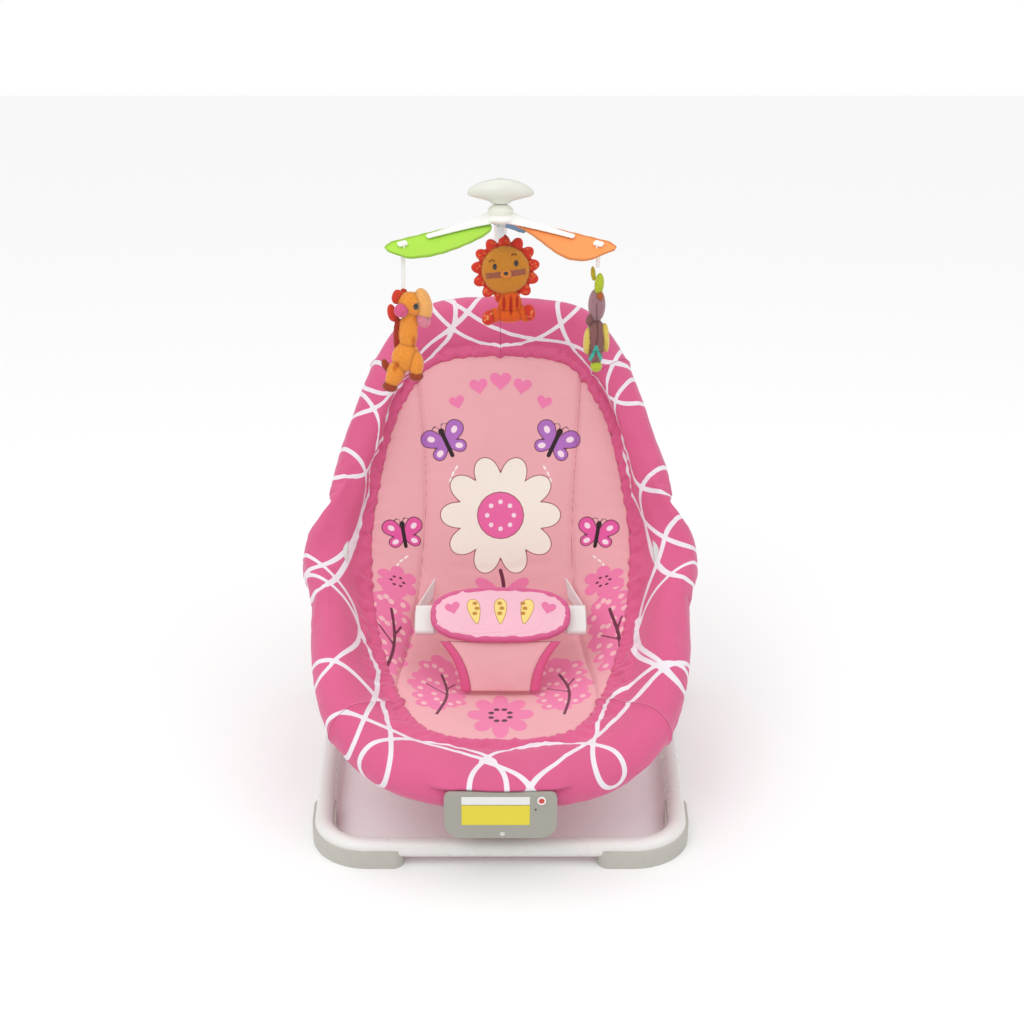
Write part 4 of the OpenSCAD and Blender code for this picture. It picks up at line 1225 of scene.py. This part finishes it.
# A plain print: hearts at the ends, spotted drops between them
WAIST_BLOBS = {
    "heart": [heart_shape(side * 56, 7, 9, side * -15) for side in (-1, 1)],
    "patch": [petal_shape(x, -14, 32, 19, 90 + lean) for x, lean in ((-27, 12), (0, 0), (27, -12))],
    "spot": [oval(x + 2.5 * (k % 2), -1 + 6.5 * k, 3.0, 2.4) for x in (-30, -1, 26) for k in range(3)],
}
for name, shapes in WAIST_BLOBS.items():
    values = np.full(len(co), FAR)
    for shape in shapes:
        blob(values, waist_xy, shape, False)
    add_float(waist, name, values)


# Each colour's name, fill and outline, laid in this order
WAIST_LAYERS = [("heart", linear("E0719E"), None), ("patch", linear("EFD27A"), linear("A9762C")),
                ("spot", linear("B9822F"), None)]


def waist_paint(n, base):
    for name, colour, edge_colour in WAIST_LAYERS:
        d = n.attribute(name)
        if edge_colour:
            base = n.mix(n.ramp(d, 1.0, 0.5), base, edge_colour)
        base = n.mix(n.ramp(d, 0.3, -0.3), base, colour)
    return base


slot_all(waist, fabric("waist_print", linear("EDB6C6"), 0.42, 0.15, pitch=0.0009, strength=0.15,
                       paint=waist_paint, folds=0.25))
waist.data.materials[0].node_tree.nodes["Principled BSDF"].inputs["Coat Weight"].default_value = 0.35
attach(waist, "seat")
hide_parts("waist_pad")

BINDING = fabric("binding", linear("D4608E"), 0.7, 0.25, pitch=0.0008, strength=0.4, where=None, folds=0.3)
wave = 0.4 * np.sin(turn * 17) + 0.3 * np.sin(turn * 31 + 1)
edge_line = on_pad(ex * 0.985, ey * 0.97, 9.0 + wave)
binding = tube("waist_pad_binding", edge_line, 4.2, 4.6, closed=True, up=PAD_AXES[2])
slot_all(binding, BINDING)
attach(binding, "seat")

# Crotch panel: stands up from the seat with a bound edge either side
PANEL_AT, PANEL_AXES = np.array([0.0, 122.0, 117.4]), sloped(74)
NX, NY = 90, 44
height = np.linspace(0.5, 58, NY)
half_width = spline([0, 12, 28, 44, 60], [46, 47.5, 52, 60, 72], height)
across = np.linspace(-1, 1, NX)
px = half_width[:, None] * across[None]
py = np.repeat(height[:, None], NX, 1)
side_gap = half_width[:, None] - np.abs(px)
swell_across = np.cos(across * math.pi / 2)[None] ** 0.6
swell_up = np.sin(np.clip(height / 60, 0, 1) * math.pi)[:, None] ** 0.5
face = 6.2 + 2.6 * swell_across * swell_up
face = face - 1.6 * np.exp(-((side_gap - 11.5) / 1.3) ** 2) + 1.5 * np.exp(-((side_gap - 5) / 4.5) ** 2)
face -= 3.0 * np.clip(1 - side_gap / 1.6, 0, 1) ** 2
face += 0.5 * np.sin(px / 9 + py / 14) * np.exp(-((py - 8) / 14) ** 2)
back_face = np.full_like(face, 0.6)
front_pts = PANEL_AT + np.stack([px, py, face], -1) @ PANEL_AXES
back_pts = PANEL_AT + np.stack([px, py, back_face], -1) @ PANEL_AXES
panel = two_sided("crotch_panel_cloth", front_pts, back_pts)
add_fabric(panel, np.tile(np.column_stack([px.ravel(), py.ravel()]), (2, 1)))
add_float(panel, "bound", np.tile((side_gap - 11.5).ravel(), 2))


def panel_paint(n, base):
    d = n.attribute("bound")
    base = n.mix(n.ramp(d, 0.3, -0.3), base, linear("DC5F8E"))
    line = n.ramp(n.math("ABSOLUTE", d), 0.9, 0.3)
    return n.mix(n.math("MULTIPLY", line, 0.6), base, SEAM_PINK)


slot_all(panel, fabric("panel_print", linear("EFB6BA"), 0.88, 0.3, paint=panel_paint, folds=0.3))
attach(panel, "seat")
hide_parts("crotch_panel")

# Webbing from a slit in each of the pad's seams to the buckle
WEB = fabric("webbing_weave", linear("EFEDEB"), 0.75, 0.2, pitch=0.0017, strength=0.9, where="fab")
for side, name in ((-1, "left_webbing"), (1, "right_webbing")):
    slit = np.array([[side * 82, 268, 178], [side * 80, 277, 199]], float)
    buckle = on_pad(side * np.array([100.5, 100.5]), np.array([-11.5, 11.5]), np.array([-5.5, -5.5]))
    steps = np.linspace(0, 1, 40)[:, None, None]
    strip = slit[None] * (1 - steps) + buckle[None] * steps
    strip[..., 2] -= 7 * np.sin(steps[..., 0] * math.pi)
    strip[..., 0] += side * 5 * np.sin(steps[..., 0] * math.pi)
    lanes = np.linspace(0, 1, 9)[None, :, None]
    sheet = strip[:, :1] * (1 - lanes) + strip[:, 1:] * lanes
    n = grid_normals(sheet)
    rings = np.concatenate([sheet + n * 0.75, (sheet - n * 0.75)[:, ::-1]], 1)
    web = loft(name, rings)
    u = np.repeat(np.linspace(0, 0.115, 40)[:, None], 18, 1).ravel()
    w = np.tile(np.concatenate([np.linspace(0, 0.023, 9), np.linspace(0.023, 0, 9)]), 40)
    add_vector(web, "fab", np.vstack([np.column_stack([w, u, 0 * u]), np.zeros((2, 3))]))
    slot_all(web, WEB)
    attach(web, "seat")
    if side < 0:
        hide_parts("waist_straps")


# ---------------------------------------------------------------- mobile
MOBILE = np.array([0.0, 205.0, 650.0])
BEARINGS = [210, 330, 90]
PITCHES = [-32, 32, 14]
DROOP = 10


def on_arm(i, p):
    """Arm i's own frame (out along it, across, up) to drawing millimetres."""
    return np.asarray(p, float) @ turn_matrix(PITCHES[i], DROOP, BEARINGS[i]).T + MOBILE


# Each leaf starts this far out along its arm, and is this long
LEAF_FROM, LEAF_LONG = 15.6, 124.4
# Each leaf's belly, as (depth, where it is fullest, how round)
LEAF_BELLY = [(21, 1.0, 0.36), (24, 1.8, 0.8), (27, 1.0, 0.5)]


def leaf_low(i, u):
    deep, skew, round_ = LEAF_BELLY[i]
    belly = np.clip(np.sin(math.pi * u**skew), 0, 1) ** round_
    return (4 + deep * belly) * np.clip((1.02 - u) / 0.14, 0, 1) ** 0.5


def leaf_high(u):
    return (4.5 + 4.5 * u) * np.clip((1.02 - u) / 0.10, 0, 1) ** 0.5


def hem_paint(n, base):
    hem = n.ramp(n.attribute("hem"), 3.0, 1.6)
    return n.mix(n.math("MULTIPLY", hem, 0.28), base, (0.02, 0.02, 0.0))


WING_CLOTH = {
    "left_wing": ("wing_green", "AEE048"),
    "right_wing": ("wing_orange", "FF9A56"),
    "rear_wing": ("wing_blue", "4A90BC"),
}
for i, (node, (slot_name, colour)) in enumerate(WING_CLOTH.items()):
    low_side = 1 if PITCHES[i] < 0 else -1
    nu, nw = 110, 40
    u = np.linspace(0, 1, nu)[:, None]
    w = np.linspace(0, 1, nw)[None, :]
    hi, lo = leaf_high(u), leaf_low(i, u)
    y = -hi + (hi + lo) * w
    x = LEAF_FROM + LEAF_LONG * u + 0 * w
    edge_gap = np.minimum(y + hi, lo - y)
    bow = -2.2 * np.sin(math.pi * u) * (y / 34) + 1.6 * np.sin(2 * math.pi * u) * np.clip(y / 30, 0, 1)
    pucker = 0.25 * np.sin(u * 46 + y / 5) * np.exp(-((edge_gap / 6) ** 2))
    z = -1.2 + bow + pucker
    thick = 0.45 + 0.75 * np.exp(-((edge_gap - 1.1) / 1.2) ** 2)
    top = np.stack(np.broadcast_arrays(x, y * low_side, z + thick), -1)
    low = np.stack(np.broadcast_arrays(x, y * low_side, z - thick), -1)
    leaf = two_sided(node + "_leaf", on_arm(i, top), on_arm(i, low))
    add_fabric(leaf, np.tile(np.column_stack([x.ravel(), y.ravel()]), (2, 1)))
    add_float(leaf, "hem", np.tile(edge_gap.ravel(), 2))
    slot_all(leaf, fabric(slot_name + "_cloth", linear(colour), 0.7, 0.25, pitch=0.0013, strength=0.5,
                          paint=hem_paint, folds=0.15))
    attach(leaf, "spinner")
    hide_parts(node)

# Spider: a junction plate and three tapering arms, melted together
arms = []
for i in range(3):
    a = circle(20)
    rings = []
    for s, half, thick in [(6, 9.5, 1.2), (12, 9.6, 2.4), (20, 8.4, 2.3), (32, 6.6, 2.1), (48, 5.2, 1.9),
                           (64, 4.4, 1.7), (80, 3.8, 1.6), (90, 3.6, 1.5), (92.5, 2.8, 0.9)]:
        up = 1.3 + 3.0 * math.exp(-s / 22)
        rings.append(on_arm(i, np.stack([np.full(20, s), half * np.cos(a), up + thick * np.sin(a)], -1)))
    arms.append(loft("arm", rings))
skirt = []
a = circle(40)
for r, z in [(6, -4.8), (17.5, -4.6), (20.5, -3.2), (21, -1.2), (19, 1.2), (15.8, 3.0), (6, 3.4)]:
    skirt.append(MOBILE + np.stack([r * np.cos(a), r * np.sin(a), np.full(40, z)], -1))
arms.append(loft("skirt", skirt))
spider = fuse(join("mobile_spider", arms), 0.0009, 5)
slot_all(spider, plastic("spider_white", linear("F1F0EC"), 0.35, 0.06, coat=0.3))
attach(spider, "spinner")
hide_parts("spider")

# Hood: wide shallow cap narrowing to a neck over the turning hub, with a socket for the boom behind
HOOD_HALF = 37.0
top = 690.9
# How wide the hood is at each drop below its top, as a share of its half width
sections = [(0.0, 0.05), (0.35, 0.3), (1.3, 0.52), (3.2, 0.72), (6.2, 0.88), (9.4, 0.965), (12.0, 1.0),
            (14.2, 0.985), (16.4, 0.92), (18.4, 0.8), (20.4, 0.64), (22.2, 0.47), (23.8, 0.34), (25.2, 0.27),
            (26.2, 0.25)]
m = 96
a = circle(m)
rings = []
for drop, s in sections:
    lobe = np.abs(np.cos(a)) ** 1.6
    wide, front, rear = HOOD_HALF * s, 18 * s, 26 * s
    if s > 0.2:
        wide, front, rear = max(wide, 10.8), max(13.0 * s + 5.0, 10.5), max(rear, 10.5)
    deep = np.where(np.sin(a) < 0, front, rear)
    x = np.cos(a) * wide
    y = np.sin(a) * deep * (1 - 0.25 * lobe)
    sag = 5.5 * (x / HOOD_HALF) ** 2 * (1 - drop / 30)
    rings.append(np.stack([x, 205 + y + 3.0 * (np.abs(x) / HOOD_HALF) ** 2, top - drop - sag], -1))
hood = loft("mobile_hood", rings)
socket_line = [(0, 212, 681.5), (0, 228, 680.2), (0, 236, 678.9)]
socket = tube("socket", socket_line, [10.5, 11.2, 10.2], [9.2, 9.8, 9.2], 40)
hood = fuse(join("mobile_hood", [hood, socket]), 0.0009, 8)
slot_all(hood, plastic("hood_cream", linear("DDDDD2"), 0.34, 0.08, coat=0.25))
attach(hood, "mast")
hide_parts("hood_top", "hood_base")

# The end of each ribbon is folded over its leaf
for i, name in enumerate(("left_ribbon_fold", "right_ribbon_fold", "rear_ribbon_fold")):
    a = circle(24)
    sq = (np.abs(np.cos(a)) ** 6 + np.abs(np.sin(a)) ** 6) ** (-1 / 6)
    out, across = 5.5 * np.cos(a) * sq, 3.4 * np.sin(a) * sq
    rings = [on_arm(i, np.stack([121 + f * out, f * across, np.full(24, z)], -1))
             for f, z in [(0.9, -0.6), (1.0, 0.0), (1.0, 1.3), (0.93, 1.9)]]
    fold = loft(name, rings)
    slot_all(fold, frame["nodes"]["left_ribbon"].data.materials[0])
    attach(fold, "spinner")


# ---------------------------------------------------------------- plush toys
ORANGE, ORANGE_PALE = linear("F39A3E"), linear("F8B46A")
RED, RED_BROWN, HOOF = linear("D8432F"), linear("A8382A"), linear("A2452C")
EAR_PINK, CHEEK_PINK = linear("E0608C"), linear("E58CA0")
BLACK, GREY = (0.012, 0.01, 0.01), linear("8A7A68")
GLOSS_BLACK = plastic("toy_eye", BLACK, 0.18, 0.02, coat=0.6)
EYE_RING = fabric("toy_eye_ring", GREY, 0.8, 0.2, where=None)
PLUSH = plush("toy_plush")
RIBBON_TOP = 650 - 119 * math.tan(math.radians(10))


def toy_place(bearing, top):
    b = math.radians(bearing)
    return np.array([119 * math.cos(b), 205 + 119 * math.sin(b), RIBBON_TOP + 0.6 - top])


def finish_toy(toy, tint, creases, body, node, depth=0.5):
    """Seams pull in where two pieces of plush meet, and the colour there is darkened as painted shade."""
    co = coords_of(toy)
    mesh = toy.data
    n = np.empty(len(mesh.vertices) * 3, np.float32)
    mesh.vertices.foreach_get("normal", n)
    pull = np.exp(-((creases / 0.9) ** 2))[:, None]
    set_coords(toy, co - n.reshape(-1, 3) * pull * depth / 1000)
    # the tint is up to 30% darker along the seam creases: painted shade where the plush dips in
    add_colour(toy, "tint", tint * (1 - 0.3 * pull))
    slot_all(toy, PLUSH)
    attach(toy, body)
    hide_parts(node)


# Long-necked animal, side on, looking right
at = toy_place(210, 42)
parts = [
    (9, 0, -21, 16.5, 10.5, 12.5, (0, 10, 0), ORANGE),
    (20.5, 0, -22, 9.6, 10, 18, (0, -12, 0), ORANGE_PALE),
    (21, 0, -38, 7.5, 8, 9.5, (0, -6, 0), CHEEK_PINK),
    (4, 0, -52, 10.2, 9, 23, (0, 3, 0), ORANGE),
    (0, 0, -79, 15, 12.5, 17, (0, 22, 0), ORANGE),
    (11.5, -4.5, -86, 8, 7.5, 15, (0, -4, 0), ORANGE),
    (11.5, -4.5, -99.5, 8.3, 8, 5.4, (0, 0, 0), HOOF),
    (12, 6, -86, 7.5, 7, 13.5, (0, -8, 0), ORANGE),
    (-11, -2.5, -96, 9.4, 8.5, 19, (0, 22, 0), ORANGE),
    (-17.6, -3, -111.5, 9, 8.5, 5.6, (0, 14, 0), HOOF),
    (-8, 5.5, -95, 8.5, 7.5, 17, (0, 15, 0), ORANGE),
    (-22, 0, -88, 4.2, 4.2, 7.5, (0, -18, 0), HOOF),
    (-8.5, 0, -54, 4.2, 3.4, 20, (0, 4, 0), RED_BROWN),
    (-13.5, 0, -31, 5.0, 3.6, 10, (0, -8, 0), RED),
    (-7.5, -2, -13.5, 5.6, 3.4, 8.5, (0, 16, 0), RED),
    (-1.5, 3, -11.5, 4.6, 3.2, 7.0, (0, 22, 0), RED),
    (-3.2, -8, -27.5, 7.6, 5.2, 7.6, (0, 0, 0), EAR_PINK),
]
toy, co, tint, crease = soft_toy("left_plush", at, parts)
for c, r, t in [((10, -9, -62), (2.6, 8, 7), (0, 0, 0)), ((-9.5, -10, -87), (3.0, 8, 6), (0, 25, 0))]:
    dab(tint, co, c, r, linear("D8732B"), t, 0.3)
finish_toy(toy, tint, crease, "left_pendant", "left_toy")
for part, offset, radii, material in [("eye_ring", (13, -9.3, -22.5), (3.7, 1.0, 4.1), EYE_RING),
                                      ("eye", (13, -10.0, -22.5), (2.5, 1.0, 3.1), GLOSS_BLACK),
                                      ("nostril", (25.3, -5.6, -33.5), (0.9, 0.7, 0.9), GLOSS_BLACK)]:
    bead("left_plush_" + part, at + offset, radii, material, "left_pendant")

# Maned face over a small sitting body
at = toy_place(90, 18)
FACE, MANE, MANE_DARK, COAT = linear("D88F35"), linear("E0402F"), linear("B8321F"), linear("EA6426")
cx, cz = 6.0, -37.0
parts = [(cx, -2.5, cz, 28, 9.0, 28, (0, 0, 0), FACE)]
for k in range(13):
    b = 2 * math.pi * (k + 0.35) / 13
    petal = (cx + 31.5 * math.cos(b), 2.0, cz + 31.5 * math.sin(b))
    parts.append((*petal, 10.2, 4.9, 7.4, (0, -math.degrees(b), 0), MANE))
parts += [
    (11.5, 0, -80, 15, 10.5, 20, (0, 0, 0), COAT), (11, -2, -91, 18.5, 11, 9.5, (0, 0, 0), COAT),
    (-8, -6, -91, 9, 8, 9.5, (0, 20, 0), COAT), (-14, -8, -93, 8.5, 8, 10, (0, 25, 0), MANE),
    (30, -5, -89, 8, 8, 10.5, (0, -10, 0), COAT), (35, -7, -87, 7.6, 7.5, 10.5, (0, -12, 0), MANE),
]
toy, co, tint, crease = soft_toy("rear_plush", at, parts, smooth=4)
for c, r in [((4, -9, -76), (2.0, 8, 9)), ((12.5, -10, -78), (2.2, 9, 12)), ((20, -9, -74), (1.8, 8, 9))]:
    dab(tint, co, c, r, MANE_DARK, soft=0.2)
dots = np.random.default_rng(31)
for k in range(80):
    b, s = dots.uniform(0, 2 * math.pi), dots.uniform(29.5, 38)
    place = (cx + s * math.cos(b), -2, cz + s * math.sin(b))
    dab(tint, co, place, (1.0, 3.5, 1.0), linear("F2804A"), soft=0.3)
for foot_x, foot_z in ((-15, -93), (35, -86)):
    for k in range(9):
        place = (foot_x + dots.uniform(-5, 5), -15, foot_z + dots.uniform(-7, 7))
        dab(tint, co, place, (1.2, 3, 1.2), linear("F2A060"), soft=0.3)
face_front = (np.hypot(co[:, 0] - cx, co[:, 2] - cz) < 27.5) & (co[:, 1] < -3)
roll = math.radians(7)
fx = (co[:, 0] - cx) * math.cos(roll) + (co[:, 2] - cz) * math.sin(roll)
fz = -(co[:, 0] - cx) * math.sin(roll) + (co[:, 2] - cz) * math.cos(roll)
# A darker band across the cheeks, then the brows
strip = np.clip(4.2 - np.abs(fz + 3.5), 0, 1) * np.clip(24.5 - np.abs(fx), 0, 1) * face_front
strip = strip[:, None] * 0.85
tint[:] = tint * (1 - strip) + np.array(linear("9C5A52")) * strip
for bx, bz in ((-15, 13), (12, 17)):
    arc = np.clip((1.0 - np.abs(np.hypot(fx - bx, fz - bz + 2.5) - 4.0)) / 0.6, 0, 1)
    w = arc * (fz > bz - 0.5) * (np.abs(fx - bx) < 3.4) * face_front
    tint[:] = tint * (1 - w[:, None]) + np.array(linear("6A2F20")) * w[:, None]
finish_toy(toy, tint, crease, "rear_pendant", "rear_toy")
MUZZLE = fabric("toy_muzzle", linear("E08A3A"), 0.9, 0.4, where=None)
for part, offset, radii, material in [("muzzle", (0.5, -11.6, -3.5), (6.6, 2.6, 5.4), MUZZLE),
                                      ("nose", (0.5, -14.0, -2.2), (3.0, 1.1, 2.2), GLOSS_BLACK),
                                      ("left_eye", (-12.8, -10.3, 5.2), (2.5, 1.0, 3.7), GLOSS_BLACK),
                                      ("right_eye", (12.6, -10.3, 9.2), (2.5, 1.0, 3.7), GLOSS_BLACK)]:
    bead("rear_plush_" + part, at + np.array([cx, 0, cz]) + offset, radii, material, "rear_pendant")

# Long-nosed animal, seen from its front edge
at = toy_place(330, 20)
MAUVE, TAUPE, TEAL = linear("A57C84"), linear("8A5E5C"), linear("3FB9A8")
LIME, YELLOW = linear("B9C93A"), linear("E3C860")
parts = [
    (-4.5, 4, -12, 2.8, 4, 8.5, (0, -6, 0), linear("C9B93A")),
    (1.5, -4, -22, 5.2, 5.5, 12.5, (0, 4, 0), LIME),
    (2.6, -8, -34, 3.8, 4.5, 4.5, (0, 0, 0), linear("B5602F")),
    (0, 2, -45, 9.4, 14, 18, (0, 0, 0), MAUVE),
    (-8.5, -4, -60, 3.6, 4.2, 6.2, (0, 15, 0), TAUPE),
    (-0.5, 3, -80, 10.8, 17, 20.5, (0, 0, 0), TAUPE),
    (-9.6, 0, -83, 4.2, 11, 15, (0, 4, 0), YELLOW),
    (10.4, 0, -80, 3.8, 11, 16.5, (0, -4, 0), YELLOW),
    (-0.5, -2, -99, 8.4, 10, 9.5, (0, 0, 0), TAUPE),
    (0.4, -5, -110.5, 6.4, 7, 6.4, (0, 0, 0), LIME),
    (2, 12, -100, 6.5, 7, 7.5, (0, 0, 0), TAUPE),
]
toy, co, tint, crease = soft_toy("right_plush", at, parts)
front = co[:, 1] < 2
belly = front * (co[:, 2] < -40) * (co[:, 2] > -98)
seam_mid = np.exp(-((co[:, 0] + 0.3 + 0.8 * np.sin(co[:, 2] / 9)) / 0.8) ** 2) * belly
tint *= 1 - 0.55 * seam_mid[:, None]
for sx in (-1, 1):
    line = np.abs((co[:, 0] + 0.5) - sx * (-88 - co[:, 2]) * 0.42)
    w = np.clip((1.9 - line) / 0.6, 0, 1) * front * (co[:, 2] < -86) * (co[:, 2] > -104)
    tint[:] = tint * (1 - w[:, None]) + np.array(TEAL) * w[:, None]
finish_toy(toy, tint, crease, "right_pendant", "right_toy")


# ---------------------------------------------------------------- floor, light and camera
FLOOR_Z = float(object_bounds()[0][2])
corners = [(x, y, FLOOR_Z) for x, y in ((-30, -30), (30, -30), (30, 30), (-30, 30))]
floor = new_object("studio_floor", corners, [(0, 1, 2, 3)], False)
slot_all(floor, Nodes("studio_floor").finish((0.93, 0.93, 0.93), 0.9))

scene = bpy.context.scene
scene.view_settings.view_transform = "Standard"
world = bpy.data.worlds.new("studio")
world.use_nodes = True
# Soft light all round; the backdrop itself shows white
SKY_LIGHT, SKY_SEEN = 0.55, 1.0
sky, links = world.node_tree.nodes, world.node_tree.links
path = sky.new("ShaderNodeLightPath")
level = sky.new("ShaderNodeMapRange")
level.inputs["To Min"].default_value, level.inputs["To Max"].default_value = SKY_LIGHT, SKY_SEEN
links.new(path.outputs["Is Camera Ray"], level.inputs["Value"])
links.new(level.outputs["Result"], sky["Background"].inputs["Strength"])
sky["Background"].inputs["Color"].default_value = (1, 1, 1, 1)
scene.world = world


def area(name, at, aim, size, power):
    light = bpy.data.lights.new(name, "AREA")
    light.shape = "DISK"
    light.size = size
    light.energy = power
    lamp = bpy.data.objects.new(name, light)
    lamp.location = at
    lamp.rotation_euler = (Vector(aim) - Vector(at)).to_track_quat("-Z", "Y").to_euler()
    scene.collection.objects.link(lamp)
    return lamp


# A wide sun from above evens the light out over the whole floor
sun = bpy.data.lights.new("top", "SUN")
sun.energy, sun.angle = 1.55, math.radians(110)
top_light = bpy.data.objects.new("top", sun)
top_light.rotation_euler = (math.radians(12), math.radians(-8), 0)
scene.collection.objects.link(top_light)
area("key", (-1.2, -1.6, 2.4), (0, 0, 0.25), 1.6, 11)
area("fill", (1.8, -0.8, 1.6), (0, 0, 0.25), 1.8, 5)

lens = bpy.data.cameras.new("camera")
lens.lens, lens.sensor_width = 45.0, 36.0
lens.shift_x = 0.0112
camera = bpy.data.objects.new("camera", lens)
camera.location = (0.0, -1.41885, FLOOR_Z + 0.813)
camera.rotation_euler = (math.radians(70.5), 0, 0)
scene.collection.objects.link(camera)
scene.camera = camera
